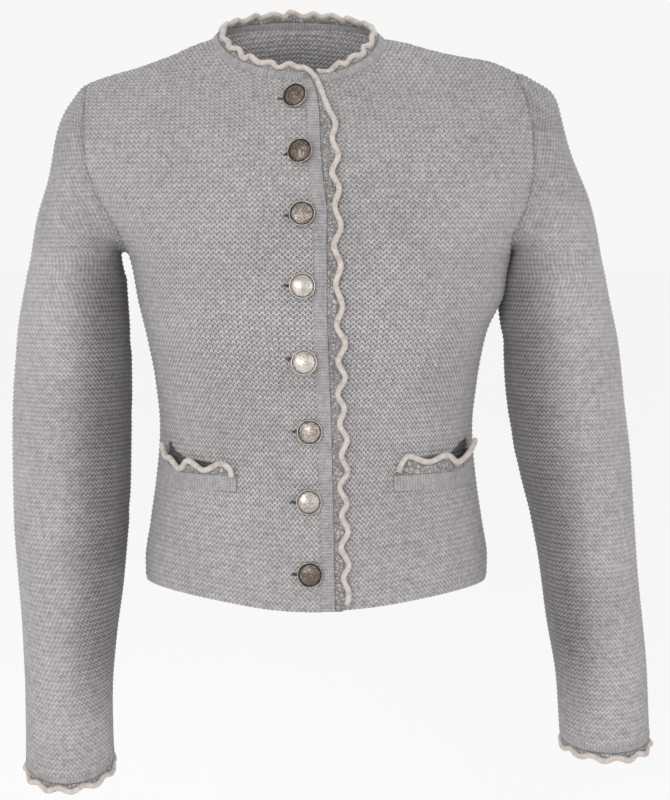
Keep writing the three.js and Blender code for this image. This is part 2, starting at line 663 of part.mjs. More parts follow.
// A point of a pocket's edging. along runs from the inner end, 0, to the outer end, 1.
function pocketPoint(side, along, up, high) {
  const z = POCKET.bottomZ + up;
  const start = angleAt(POCKET.inner, POCKET.bottomZ);
  const angle = side * mix(start, radians(POCKET.outerAngle), along);
  const normal = bodyNormal(false, angle, z);
  const beyond = side * (bodyPoint(false, angle, z).x - body("lean", z));
  const lift = side < 0 ? liftAt(beyond) : 0;
  const open = Math.sin(Math.PI * mix(POCKET_GAPE.ends, 1 - POCKET_GAPE.ends, along));
  const gape = POCKET_GAPE.most * (up / CORD_LINE.pocket) ** 2 * open;
  const point = bodyPoint(false, angle, z).addScaledVector(normal, lift + gape + high);
  return { point, normal };
}

const pocketWave = (along) =>
  CORD_LINE.pocket +
  POCKET_WAVE.rise * smooth(along, POCKET_WAVE.risesFrom, 1) -
  POCKET_WAVE.height * Math.cos(2 * Math.PI * POCKET.waves * along + POCKET_WAVE.start);

function pocketPieces(side) {
  const steps = POCKET.waves * STEPS_PER_WAVE;
  const alongs = range(steps + 1).map((i) => i / steps);
  const line = (up, high) => alongs.map((a) => pocketPoint(side, a, up(a), high).point);
  const { clear, thick } = POCKET;
  const weltTop = () => POCKET.welt;
  const scallopTop = (a) => pocketWave(a) - CORD.radius - SEAM;
  const slab = (low, top, from, to) =>
    wallBetween([line(low, to), line(top, to)], [line(low, from), line(top, from)], false);
  return {
    welt: slab(() => 0, weltTop, clear, clear + thick),
    scallops: slab(() => POCKET.welt + SEAM, scallopTop, clear, clear + SCALLOPS.thick),
    cord: cordAlong(alongs.map((a) => pocketPoint(side, a, pocketWave(a), clear + CORD.radius)), false),
  };
}

// A point past the end of a sleeve: out along the sleeve, high away from its surface.
function cuffPoint(table, turn, out, high) {
  const end = table.at(-1).z;
  const rim = sleevePoint(table, end, turn);
  const along = rim.clone().sub(sleevePoint(table, end + CUFF.measuredOver, turn)).normalize();
  const near = sleevePoint(table, end, turn + 0.01).sub(sleevePoint(table, end, turn - 0.01));
  const side = Math.sign(table[0].outer);
  const normal = near.cross(along).normalize().multiplyScalar(side);
  const middle = vec((table.at(-1).outer + table.at(-1).inner) / 2, table.at(-1).midY, end);
  if (normal.dot(rim.clone().sub(middle)) < 0) normal.negate();
  return { point: rim.addScaledVector(along, out).addScaledVector(normal, high), normal };
}

function cuffPieces(table) {
  const turnsOf = (steps) => range(steps).map((i) => (2 * Math.PI * i) / steps);
  const turns = turnsOf(CUFF.waves * STEPS_PER_WAVE);
  const wave = (turn) => CORD_LINE.cuff + SCALLOPS.cuffWave * Math.cos(CUFF.waves * turn);
  const slab = (at, from, to, low, top) => {
    const line = (out, high) => at.map((turn) => cuffPoint(table, turn, out(turn), high).point);
    return wallBetween([line(from, top), line(to, top)], [line(from, low), line(to, low)], true);
  };
  const start = () => CUFF.band + 2 * SEAM;
  const end = (turn) => wave(turn) - CORD.radius - CORD_GAP.cuff;
  const top = -SCALLOPS.sink;
  return {
    band: slab(turnsOf(CUFF_STEPS), () => BAND_START.cuff, () => CUFF.band, -CUFF.bandThick, 0),
    scallops: slab(turns, start, end, top - SCALLOPS.thick, top),
    cord: cordAlong(turns.map((turn) => cuffPoint(table, turn, wave(turn), -CORD.sink)), true),
  };
}

// ---- Buttons ------------------------------------------------------------------------------------

// A frame on the right front, on the line of buttons: its z axis points out of the cloth.
function buttonFrame(z) {
  const angle = angleAt(buttonLine(z), z);
  const normal = bodyNormal(false, angle, z);
  const across = vec(1, 0, 0).addScaledVector(normal, -normal.x).normalize();
  const up = normal.clone().cross(across);
  const origin = bodyPoint(false, angle, z);
  return new THREE.Matrix4().makeBasis(across, up, normal).setPosition(origin);
}

// A domed button with a rolled rim and a shank that reaches down to the left front.
function buttonGeometry() {
  const base = OVERLAP_LIFT.height + BUTTON.back;
  const rimTop = base + BUTTON.rim;
  const outline = [
    [0, SEAM],
    [BUTTON.shank, SEAM],
    [BUTTON.shank, base],
    [BUTTON.radius - RIM_ROLL.back, base],
    [BUTTON.radius, base + BUTTON.rim / 2],
    [BUTTON.radius - RIM_ROLL.top, rimTop],
    [BUTTON.radius - RIM_ROLL.inside, rimTop],
    ...DOME_STEPS.map(({ radius, height }) => [BUTTON.radius * radius, base + BUTTON.dome * height]),
    [0, base + BUTTON.dome],
  ];
  const profile = outline.map(([r, h]) => new THREE.Vector2(r, h));
  const geometry = new THREE.LatheGeometry(profile, BUTTON.sides);
  return geometry.rotateX(Math.PI / 2);
}

function toSolid(geometry) {
  const bare = geometry.clone();
  bare.deleteAttribute("normal");
  bare.deleteAttribute("uv");
  const merged = mergeVertices(bare, 1e-4);
  return new wasm.Manifold(
    new wasm.Mesh({
      numProp: 3,
      vertProperties: merged.attributes.position.array,
      triVerts: new Uint32Array(merged.index.array),
    }),
  );
}

function fromSolid(solid) {
  const made = solid.getMesh();
  const geometry = new THREE.BufferGeometry();
  geometry.setAttribute("position", new THREE.Float32BufferAttribute(made.vertProperties, 3));
  geometry.setIndex([...made.triVerts]);
  geometry.computeVertexNormals();
  return geometry;
}

// The right front with a slit and an eye for each button's shank.
function cutButtonholes(geometry) {
  let solid = toSolid(geometry);
  const { reach, slit, eye, through } = BUTTONHOLE;
  const slot = new THREE.BoxGeometry(reach, slit, through).translate(-reach / 2, 0, 0);
  const round = new THREE.CylinderGeometry(eye, eye, through, 10).rotateX(Math.PI / 2);
  for (const z of BUTTON_HEIGHTS) {
    const frame = buttonFrame(z);
    solid = solid.subtract(toSolid(slot.clone().applyMatrix4(frame)));
    solid = solid.subtract(toSolid(round.clone().applyMatrix4(frame)));
  }
  return fromSolid(solid);
}

// ---- The cardigan -------------------------------------------------------------------------------

const cardigan = new THREE.Group();
function add(name, geometry, material) {
  const mesh = new THREE.Mesh(geometry, material);
  mesh.name = name;
  cardigan.add(mesh);
  return mesh;
}

const right = frontPanel(-1, RIGHT_EDGE, liftAt);
const left = frontPanel(1, LEFT_UNDERLAP, sinkAt);
const back = backPanel();
add("right_front", cutButtonholes(wallBetween(right.outer, right.inner, false)), GREY);
add("left_front", wallBetween(left.outer, left.inner, false), GREY);
add("back", wallBetween(back.outer, back.inner, false), GREY);

const sideColumn = right.outer[0].length - 1;
const leftBackColumn = back.outer[0].length - 1;
const sleeves = [
  { name: "right", side: -1, table: RIGHT_SLEEVE, ring: armholeRing(right, back, sideColumn, 0) },
  { name: "left", side: 1, table: LEFT_SLEEVE, ring: armholeRing(left, back, sideColumn, leftBackColumn) },
];
for (const { name, side, table, ring } of sleeves) {
  const grids = sleeveGrids(table, side, ring);
  add(`${name}_sleeve`, wallBetween(grids.outer, grids.inner, true), GREY);
  const cuff = cuffPieces(table);
  add(`${name}_cuff_band`, cuff.band, PALE_GREY);
  add(`${name}_cuff_scallops`, cuff.scallops, GREY);
  add(`${name}_cuff_cord`, cuff.cord, CREAM);
  const pocket = pocketPieces(side);
  add(`${name}_pocket_welt`, pocket.welt, PALE_GREY);
  add(`${name}_pocket_scallops`, pocket.scallops, GREY);
  add(`${name}_pocket_cord`, pocket.cord, CREAM);
}

const stations = edgingStations();
const bandEnd = (s) => byPart(s, BAND.front, BAND.neck);
const waveOf = (s) => byPart(s, SCALLOPS.wave, SCALLOPS.neckWave) * Math.sin(s.wave);
const cordLine = (s) => byPart(s, CORD_LINE.front, CORD_LINE.neck) + waveOf(s);
const scallopStart = (s) => bandEnd(s) + SEAM;
const scallopEnd = (s) => cordLine(s) - CORD.radius - byPart(s, CORD_GAP.front, CORD_GAP.neck);
const scallopTop = -SCALLOPS.sink;
const bandStart = (s) => byPart(s, BAND_START.front, BAND_START.neck);
add("edge_band", edgingStrip(stations, bandStart, bandEnd, 0, -BAND.thick), PALE_GREY);
add(
  "edge_scallops",
  edgingStrip(stations, scallopStart, scallopEnd, scallopTop, scallopTop - SCALLOPS.thick),
  GREY,
);
// The cord stops where the left front's edging goes beneath the right front.
const cordEnd = stations.findIndex((s) => isNeck(s) && s.turn > 2 * Math.PI - CORD_STOP);
const cordStations = stations.slice(0, cordEnd);
const cordPath = cordStations.map((s, i) => edgingPoint(s, cordLine(s), -CORD.sink, cordStations, i));
add("edge_cord", cordAlong(cordPath, false), CREAM);

BUTTON_HEIGHTS.forEach((z, i) => {
  add(`button_${i + 1}`, buttonGeometry(), OLD_SILVER).applyMatrix4(buttonFrame(z));
});

export default cardigan;
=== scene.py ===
# %% [markdown]
# # A short knit cardigan
# The real one is a fitted women's jacket of grey melange wool, knitted in garter stitch. The right
# front laps over the left one. It carries a band of plain knitting, crocheted scallops and a cream
# cord, and eight domed buttons of old silver. We build it piece by piece, as a knitter would sew
# it: two fronts, a back and two sleeves first, then the edging, the cuffs, the pockets and the
# buttons. The garment's lengths are in millimetres until its meshes are made, which Blender wants
# in metres. The camera, the lamps and the floor are in metres from the start.

import math
from functools import partial

import bpy
import numpy as np
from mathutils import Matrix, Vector


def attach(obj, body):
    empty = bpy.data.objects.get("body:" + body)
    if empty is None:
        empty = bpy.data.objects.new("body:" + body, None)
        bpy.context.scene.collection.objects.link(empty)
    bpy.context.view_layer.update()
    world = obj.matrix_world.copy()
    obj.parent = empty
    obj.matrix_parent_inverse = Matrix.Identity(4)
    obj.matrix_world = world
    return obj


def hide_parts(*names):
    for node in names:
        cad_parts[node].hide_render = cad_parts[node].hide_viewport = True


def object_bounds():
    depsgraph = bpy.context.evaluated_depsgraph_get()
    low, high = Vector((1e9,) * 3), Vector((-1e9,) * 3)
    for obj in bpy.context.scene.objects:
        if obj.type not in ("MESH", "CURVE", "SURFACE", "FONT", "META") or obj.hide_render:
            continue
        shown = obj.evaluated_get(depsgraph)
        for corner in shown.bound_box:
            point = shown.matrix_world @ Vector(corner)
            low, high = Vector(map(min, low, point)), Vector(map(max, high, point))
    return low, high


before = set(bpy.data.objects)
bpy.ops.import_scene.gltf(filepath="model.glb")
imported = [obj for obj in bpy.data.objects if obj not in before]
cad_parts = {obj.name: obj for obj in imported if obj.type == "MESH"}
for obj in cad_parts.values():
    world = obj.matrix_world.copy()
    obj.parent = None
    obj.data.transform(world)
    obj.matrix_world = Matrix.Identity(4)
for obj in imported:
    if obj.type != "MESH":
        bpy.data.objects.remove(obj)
cad_low, cad_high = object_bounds()
frame_box = [[round(c, 3) for c in corner] for corner in (cad_low, cad_high)]
print(len(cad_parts), "nodes in", *frame_box)

# %% [markdown]
# ## The camera
# The view is level with the chest, straight from the front, from 1.8 metres away. A long lens keeps
# the shoulders and the hem in proportion. We make the camera first, so that each later step can be
# looked at from the right place.

# %% Camera
CAMERA_AT = (0.0215, -1.8, -0.155)
LOOKS_AT = (0.0215, 0.0, -0.310)
VIEW_ANGLE = 2 * math.atan(400 / 2093)  # across the picture's long side, which is its height

camera_data = bpy.data.cameras.new("camera")
camera = bpy.data.objects.new("camera", camera_data)
bpy.context.scene.collection.objects.link(camera)
camera.location = CAMERA_AT
camera.rotation_mode = "QUATERNION"
camera.rotation_quaternion = (Vector(LOOKS_AT) - Vector(CAMERA_AT)).to_track_quat("-Z", "Y")
camera_data.angle = VIEW_ANGLE
bpy.context.scene.camera = camera
print("camera angle", round(math.degrees(VIEW_ANGLE), 1), "degrees")

# %% [markdown]
# ## Small tools
# A knit garment is all smooth curves, so most of our numbers are short tables with a smooth curve
# through their rows. Numpy evaluates such a curve for a whole cloth at once, which is quicker and
# shorter than a loop over its points.

# %% Curves and vectors
MM = 0.001


def mix(a, b, t):
    return a + (b - a) * t


def smooth(x, low, high):
    t = np.clip((np.asarray(x, float) - low) / (high - low), 0, 1)
    return t * t * (3 - 2 * t)


def unit(v):
    return v / np.maximum(np.linalg.norm(v, axis=-1, keepdims=True), 1e-9)


def curve_through(keys, values):
    """A smooth curve through the rows of a table, with no bumps between them."""
    k, v = np.array(keys, float), np.array(values, float)
    if k[0] > k[-1]:
        k, v = k[::-1], v[::-1]
    step = np.diff(v) / np.diff(k)
    product, total = step[:-1] * step[1:], step[:-1] + step[1:]
    inside = np.where(product > 0, 2 * product / np.where(product > 0, total, 1), 0)
    slope = np.concatenate([step[:1], inside, step[-1:]])

    def at(x):
        x = np.asarray(x, float)
        i = np.clip(np.searchsorted(k, x, side="right") - 1, 0, len(k) - 2)
        span = k[i + 1] - k[i]
        t = (x - k[i]) / span
        c = np.clip(t, 0, 1)
        inner = (2 * c**3 - 3 * c**2 + 1) * v[i] + (3 * c**2 - 2 * c**3) * v[i + 1]
        inner = inner + span * ((c**3 - 2 * c**2 + c) * slope[i] + (c**3 - c**2) * slope[i + 1])
        outside = np.where(t < 0, slope[i] * (x - k[i]), 0)
        return inner + outside + np.where(t > 1, slope[i + 1] * (x - k[i + 1]), 0)

    return at


print("halfway between two rows, a curve is at", float(curve_through((0, 1, 2), (0, 4, 6))(0.5)))

# %% [markdown]
# ## The body's form
# A cardigan on a standing figure is a tube with a waist. Its sections are flattened circles, so a
# table of half widths and depths says nearly everything. The shoulders are where the front and the
# back roll over to meet in a seam. The same tables shaped the collision model, so our fine cloth
# lies exactly where the frame's solids are.

# %% Body tables
BODY = np.array(
    [  # height, half width, depth of the front, depth of the back, lean to the wearer's left
        (-470, 147.5, 106, 104, 5.3),
        (-447, 148, 105.5, 104, 5.3),
        (-413, 142.8, 103, 98, 5.3),
        (-378, 138, 100, 92, 5.3),
        (-330, 134.6, 98.3, 88, 5.3),
        (-292, 138, 102.8, 91, 5.3),
        (-258, 144.5, 113.5, 97, 5.3),
        (-224, 152.5, 123, 103, 5.3),
        (-186, 160, 124.5, 107, 5.3),
        (-172, 169, 122.5, 108, 5.3),
        (-150, 185, 117.5, 108.5, 5.3),
        (-129, 200, 109.5, 108, 3),
        (-105, 212, 99.5, 105, 0.5),
        (-76, 222, 86, 96, -1),
        (-50, 225, 73, 84, -4),
        (-36, 225, 66.5, 77, -6.5),
        (0, 225, 53, 62, -10),
        (30, 225, 44, 56, -12),
    ]
)
half_at, front_at, back_at, lean_at = (
    curve_through(BODY[:, 0], BODY[:, column]) for column in range(1, 5)
)
button_line = curve_through((-470, -330, -208, -100, -42), (-3.5, -6.4, -10, -10, -9))
armhole_at = curve_through(
    (-186, -172, -150, -129, -105, -76, -50, -36),
    (160, 163.5, 174, 182.5, 187.5, 188, 186, 183),
)
SHOULDER_ACROSS = (73, 90, 106, 122, 140, 160, 183, 200)
right_shoulder_at = curve_through(SHOULDER_ACROSS, (-2, -8, -15, -20.5, -26.5, -32, -39.5, -48))
left_shoulder_at = curve_through(SHOULDER_ACROSS, (-2, -5, -9.5, -13.5, -17, -20.5, -30.5, -39.5))

HEM_SIDE_Z = -463
HEM_DROP = {"front": 12, "back": 3}
UNDERARM_Z = -186
SHOULDER_END = 183
NECK_HALF = 73
NECK_SEAM = {"side": -2, "front": -42, "back": 10}
NECK_BACK_DEPTH = 47
SHOULDER_REACH, SHOULDER_POWER = 120, 0.6
SECTION_POWER = 2.35
CLOTH = 3  # thickness
LAP = 3.7  # how far the right front stands up over the left one
print("chest", 2 * float(half_at(-224)), "mm across, waist", 2 * float(half_at(-330)), "mm")

# %% [markdown]
# A point of the body is found from its angle round the tube and its height. The depth shrinks to
# nothing at the top, where front and back meet in the shoulder seam. A power below 1 makes the roll
# over the shoulder round. Near the centre the two fronts overlap, so one is lifted and one is sunk.

# %% The body's surface
def shoulder_at(across):
    """Height of a shoulder seam. across is negative on the wearer's right, which is lower."""
    away = np.abs(across)
    return np.where(across < 0, right_shoulder_at(away), left_shoulder_at(away))


def neck_seam_z(across, is_back):
    share = np.sqrt(np.maximum(0, 1 - (across / NECK_HALF) ** 2))
    return mix(NECK_SEAM["side"], NECK_SEAM["back" if is_back else "front"], share)


def hang_at(is_back, across, z):
    """How far a point hangs below the top of the form."""
    away = np.abs(across)
    neck_top = NECK_SEAM["side"] + 60 * np.clip(1 - away / NECK_HALF, 0, 1) ** 1.5
    plain = np.where(away >= NECK_HALF, shoulder_at(across), neck_top) - z
    if not is_back:
        return np.maximum(0, plain)
    share = np.sqrt(1 - (np.minimum(away, NECK_HALF) / NECK_HALF) ** 2)
    seam = mix(NECK_SEAM["side"], NECK_SEAM["back"], share)
    depth = np.minimum(NECK_BACK_DEPTH * share / back_at(seam), 1) ** (1 / SHOULDER_POWER)
    steep = seam - z + SHOULDER_REACH * (1 - np.sqrt(1 - depth))
    blend = np.minimum(1, np.exp((z - seam) / 22))
    return np.maximum(0, np.where(away >= NECK_HALF, plain, mix(plain, steep, blend)))


def body_point(is_back, angle, z):
    """A point of the body's surface. The angle is 0 at the centre line, 90 degrees at the side."""
    z = z + 0 * angle
    across = half_at(z) * np.sin(angle)
    hang = np.clip(hang_at(is_back, across, z) / SHOULDER_REACH, 0, 1)
    rolled = (1 - (1 - hang) ** 2) ** SHOULDER_POWER
    rounded = np.sqrt(np.maximum(0, 1 - np.abs(np.sin(angle)) ** SECTION_POWER))
    deep = (back_at if is_back else front_at)(z) * rounded * rolled
    if not is_back:
        away = ((np.abs(across) - 74) ** 2 + (z + 214) ** 2) / 46**2
        deep = deep + 5 * np.exp(-away) * rounded
    return np.stack([across + lean_at(z), deep if is_back else -deep, z], -1)


def angle_at(across, z):
    return np.arcsin(np.clip(across / half_at(z), -1, 1))


def lift_at(beyond):
    """How far the right front is lifted, by the distance from the centre line."""
    return LAP * (1 - smooth(beyond, 28, 78))


def sink_at(beyond):
    return -0.8 * (1 - smooth(beyond, 36, 66))


chest = body_point(False, np.array(0.0), -208.0)
print("the chest is", round(-float(chest[1])), "mm deep in front")

# %% [markdown]
# ## From a surface to knitted cloth
# Garter stitch is a stack of soft ridges, each one made by two knitted rows. On this yarn a ridge
# is about 4 mm high. A stitch is 3.6 mm wide at the waist and in the sleeves, and the chest
# stretches it to 4.7 mm. The ridges give the cloth its slightly toothed outline, so they have to
# be real geometry. The zigzag of the yarn along each ridge is smaller, and a bump in the material
# draws it.
#
# A mesh shows a ridge well only if its rows run along it. So each column of the surface is measured
# from the hem upwards, and new points are set every quarter of a ridge. Where a column ends at a
# seam, its last point stays on the seam.

# %% Knitted rows
BODY_RIDGE, SLEEVE_RIDGE = 4.1, 3.85  # height of one garter ridge
STITCH = 3.65  # width of one stitch where nothing stretches it
RIDGE_HIGH = 0.5
body_stitch = curve_through((-475, -400, -335, -225, -150, -60), (3.9, 3.8, 3.65, 4.7, 4.5, 4.3))


def knitted_rows(dense, normals, heights, ridge):
    """New points at equal heights in each column, and the number of each column's last row."""
    start, tops = heights[0, 0], heights[:, -1]
    row = ridge / 4
    last = np.ceil((tops - start) / row - 0.2).astype(int)
    levels = start + row * np.arange(last.max() + 1)
    wanted = np.minimum(levels[None, :], tops[:, None])
    wanted[np.arange(len(tops)), last] = tops
    points, facing = np.empty((*wanted.shape, 3)), np.empty((*wanted.shape, 3))
    for c in range(len(tops)):
        for axis in range(3):
            points[c, :, axis] = np.interp(wanted[c], heights[c], dense[c, :, axis])
            facing[c, :, axis] = np.interp(wanted[c], heights[c], normals[c, :, axis])
    return points, unit(facing), wanted, last


def surface_normals(dense, wraps=False):
    if wraps:
        across = np.roll(dense, -1, 0) - np.roll(dense, 1, 0)
    else:
        across = np.gradient(dense, axis=0)
    return unit(np.cross(across, np.gradient(dense, axis=1)))


print("a ridge is", BODY_RIDGE, "mm high on the body and", SLEEVE_RIDGE, "mm on the sleeves")

# %% [markdown]
# A cloth has two faces and an edge. The outer face carries the ridges and needs a fine mesh. The
# inner one is only seen through the neck, the hem and the cuffs, so a mesh with a twelfth of the
# points is enough. The two are sewn together along their borders, which makes one closed shell that
# could also be printed.


# %% A shell of two faces
def sew(outer, inner):
    """Triangles between two border lines, each a list of (place, vertex, texture vertex)."""
    made, i, j = [], 0, 0
    while i < len(outer) - 1 or j < len(inner) - 1:
        go_outer = j == len(inner) - 1
        if not go_outer and i < len(outer) - 1:
            go_outer = outer[i + 1][0] + outer[i][0] <= inner[j + 1][0] + inner[j][0]
        if go_outer:
            made.append((outer[i], inner[j], outer[i + 1]))
            i += 1
        else:
            made.append((outer[i], inner[j], inner[j + 1]))
            j += 1
    return [([p[1] for p in t], [p[2] for p in t]) for t in made]


def shell_faces(shape, last, wraps, every_column=3, every_row=4):
    """Faces of the outer and inner grids and of the border, as vertices and texture vertices."""
    columns, rows = shape
    wide = columns + 1 if wraps else columns

    def vertex(side, c, k):
        c = c % columns
        return side * columns * rows + c * rows + np.minimum(k, last[c])

    def texture(side, c, k):
        return side * wide * rows + c * rows + k

    faces = []
    for side, c_step, k_step in ((0, 1, 1), (1, every_column, every_row)):
        cs = np.arange(0, wide - 1, c_step)
        ks = np.arange(0, rows - 1, k_step)
        c, k = (a.ravel() for a in np.meshgrid(cs, ks, indexing="ij"))
        c2, k2 = np.minimum(c + c_step, wide - 1), k + k_step
        corners = [(c, k), (c2, k), (c2, k2), (c, k2)]
        v = np.stack([vertex(side, *at) for at in corners], -1)
        k_last = np.minimum(k2, rows - 1)
        t = np.stack([texture(side, a, np.minimum(b, k_last)) for a, b in corners], -1)
        if side:
            v, t = v[:, ::-1], t[:, ::-1]
        for vs, ts in zip(v.tolist(), t.tolist()):
            kept = [n for n in range(4) if vs[n] != vs[n - 1]]
            if len(kept) >= 3:
                faces.append(([vs[n] for n in kept], [ts[n] for n in kept]))

    def line(side, cs, ks, place):
        return [
            (p, int(vertex(side, c, k)), int(texture(side, c, k))) for c, k, p in zip(cs, ks, place)
        ]

    all_columns = list(range(wide))
    few_columns = sorted({*range(0, wide, every_column), wide - 1})
    for up in (False, True):
        height = [int(last[c % columns]) if up else 0 for c in range(wide)]
        outer = line(0, all_columns, height, all_columns)
        inner = line(1, few_columns, [height[c] for c in few_columns], few_columns)
        sewn = sew(outer, inner)
        faces += [(v[::-1], t[::-1]) for v, t in sewn] if up else sewn
    if not wraps:
        for c in (0, columns - 1):
            many = list(range(int(last[c]) + 1))
            few = sorted({*range(0, int(last[c]) + 1, every_row), int(last[c])})
            sewn = sew(line(0, [c] * len(many), many, many), line(1, [c] * len(few), few, few))
            faces += sewn if c else [(v[::-1], t[::-1]) for v, t in sewn]
    return faces


def make_mesh(name, points, faces, texture=None, marks=None, opened=None):
    """A piece from points in millimetres. It rides on the garment's one body."""
    used = np.unique(np.concatenate([v for v, _ in faces]))
    renumber = np.full(len(points), -1)
    renumber[used] = np.arange(len(used))
    mesh = bpy.data.meshes.new(name)
    mesh.from_pydata((points[used] * MM).tolist(), [], [renumber[v].tolist() for v, _ in faces])
    if texture is not None:
        layer = mesh.uv_layers.new(name="knit")
        layer.data.foreach_set("uv", (texture[np.concatenate([t for _, t in faces])] * MM).ravel())
    for kind, values in (("shade", marks), ("open", opened)):
        if values is not None:
            layer = mesh.attributes.new(kind, "FLOAT", "POINT")
            layer.data.foreach_set("value", values[used].astype(np.float32))
    mesh.polygons.foreach_set("use_smooth", [True] * len(mesh.polygons))
    mesh.update()
    piece = bpy.data.objects.new(name, mesh)
    bpy.context.scene.collection.objects.link(piece)
    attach(piece, "root")
    print(name, sum(len(v) - 2 for v, _ in faces), "triangles")
    return piece


def stretched_open(points):
    """How far the stitches gape, from 0 to 1: most where the chest stretches the front."""
    x, y, z = points[:, 0], points[:, 1], points[:, 2]
    chest = np.exp(-((x / 150) ** 4) - np.abs((z + 275) / 160) ** 3)
    return 0.46 + 0.54 * chest * smooth(-y, -20, 60)


def painted_shoulder_shade(points):
    """Painted shade on the shoulders: the wool is darkened a little towards the top."""
    return 0.13 * smooth(points[..., 2], -200, -40)


def knit_shell(name, points, normals, heights, last, relief, shade, ridge, wraps=False):
    """The finished cloth: ridges and folds on the outer face, a plain inner face."""
    ridges = RIDGE_HIGH * np.cos(2 * np.pi * (heights - heights[0, 0]) / ridge)
    outer = points + normals * (relief + ridges)[..., None]
    inner = points - normals * (CLOTH - 0.3 - np.minimum(relief, 0))[..., None]
    columns, rows = heights.shape
    ring = np.concatenate([points, points[:1]]) if wraps else points
    high = np.concatenate([heights, heights[:1]]) if wraps else heights
    # The texture counts stitches across and ridges upwards, so it isn't in millimetres.
    step = np.linalg.norm(np.diff(ring[..., :2], axis=0), axis=-1)
    along = np.concatenate([np.zeros((1, rows)), np.cumsum(step, 0)])
    along = along / (STITCH if wraps else body_stitch(high))
    texture = np.stack([along, (high - heights[0, 0]) / ridge], -1).reshape(-1, 2) / MM
    faces = shell_faces((columns, rows), last, wraps)
    c, k = columns // 2, rows // 3
    way = np.cross(points[c + 1, k] - points[c, k], points[c, k + 1] - points[c, k])
    if way @ normals[c, k] < 0:
        faces = [(v[::-1], t[::-1]) for v, t in faces]
    both = np.concatenate([outer.reshape(-1, 3), inner.reshape(-1, 3)])
    marks = np.concatenate([shade.ravel(), 0 * shade.ravel()])
    opened = stretched_open(both)
    return make_mesh(name, both, faces, np.concatenate([texture, texture]), marks, opened)


# %% [markdown]
# ## Folds
# A knit that fits closely has few folds. Where an arm bends or the armhole pulls, the cloth dips
# along a line and stands up beside it. Each fold is drawn: two ends as seen from the
# front, a width and a depth. The figure's hidden side gets folds of the same kind.


# %% Soft folds
def folded(points, folds):
    """How far each point moves out for a list of (start, end, width, depth)."""
    moved = np.zeros(points.shape[:-1])
    for (x1, z1), (x2, z2), width, depth in folds:
        run = np.array([x2 - x1, z2 - z1], float)
        length = np.linalg.norm(run)
        run = run / length
        x, z = points[..., 0] - x1, points[..., 2] - z1
        t, side = x * run[0] + z * run[1], z * run[0] - x * run[1]
        held = smooth(t, -width, width) * (1 - smooth(t, length - width, length + width))
        wave = 0.7 * np.exp(-(((side - 1.4 * width) / width) ** 2)) - np.exp(-((side / width) ** 2))
        moved += depth * held * wave
    return moved


def facing_only(points, normals, folds):
    """Folds where the cloth faces the front or the back, which fade out where it faces the side."""
    towards, away = (smooth(sign * normals[..., 1], -0.15, 0.35) for sign in (-1, 1))
    return (towards + away) * folded(points, folds)


def unevenness(points):
    """The slight waviness of cloth that was knitted and pressed, not machined."""
    x, y, z = points[..., 0], points[..., 1], points[..., 2]
    slow = np.sin(x / 23 + 0.7 * np.sin(z / 41)) * np.sin(z / 31 + 1.3 + 0.5 * np.sin(y / 29))
    return 0.35 * slow + 0.2 * np.sin(x / 11 + z / 17 + 0.8 * np.sin(y / 13))


one_fold = [((-20, 0), (20, 0), 8, 1.0)]
print("a fold 1 mm deep dips by", -round(float(folded(np.zeros((1, 3)), one_fold)[0]), 2), "mm")

# %% [markdown]
# ## Fronts and back
# The fronts reach from the centre edge to the side seam, and the back from side to side. Their
# columns follow the armhole near the side and the neck near the middle. A seam pulls the cloth in,
# so the relief dips beside each one.


# %% Columns of a panel
def column_angle(low, high, edge, z):
    start = angle_at(edge(z), z)
    exact = np.where(z <= UNDERARM_Z, np.pi / 2, angle_at(armhole_at(np.minimum(z, -36)), z))
    eased = mix(np.pi / 2, math.radians(56), smooth(z, -256, -76))
    share = mix(low, high, smooth(z, UNDERARM_Z, -50))
    return start + (mix(eased, exact, share**6) - start) * share


def column_shares(edge, neck, shoulder, finer):
    """Where each column runs, as shares of the way to the side, at the hem and at the top."""

    def top(across):
        return angle_at(across, NECK_SEAM["side"])

    def share_of(across):
        return (top(across) - top(edge)) / (top(SHOULDER_END) - top(edge))

    i = np.arange((neck + shoulder) * finer + 1) / finer
    turn = mix(math.asin(edge / NECK_HALF), np.pi / 2, np.minimum(1, i / neck))
    on_neck = share_of(NECK_HALF * np.sin(turn))
    on_shoulder = mix(share_of(NECK_HALF), 1, (i - neck) / shoulder)
    return i / i[-1], np.where(i < neck, on_neck, on_shoulder)


def hem_z(across, is_back):
    drop = HEM_DROP["back" if is_back else "front"]
    return HEM_SIDE_Z - drop * np.cos(np.pi * across / 300) ** 2


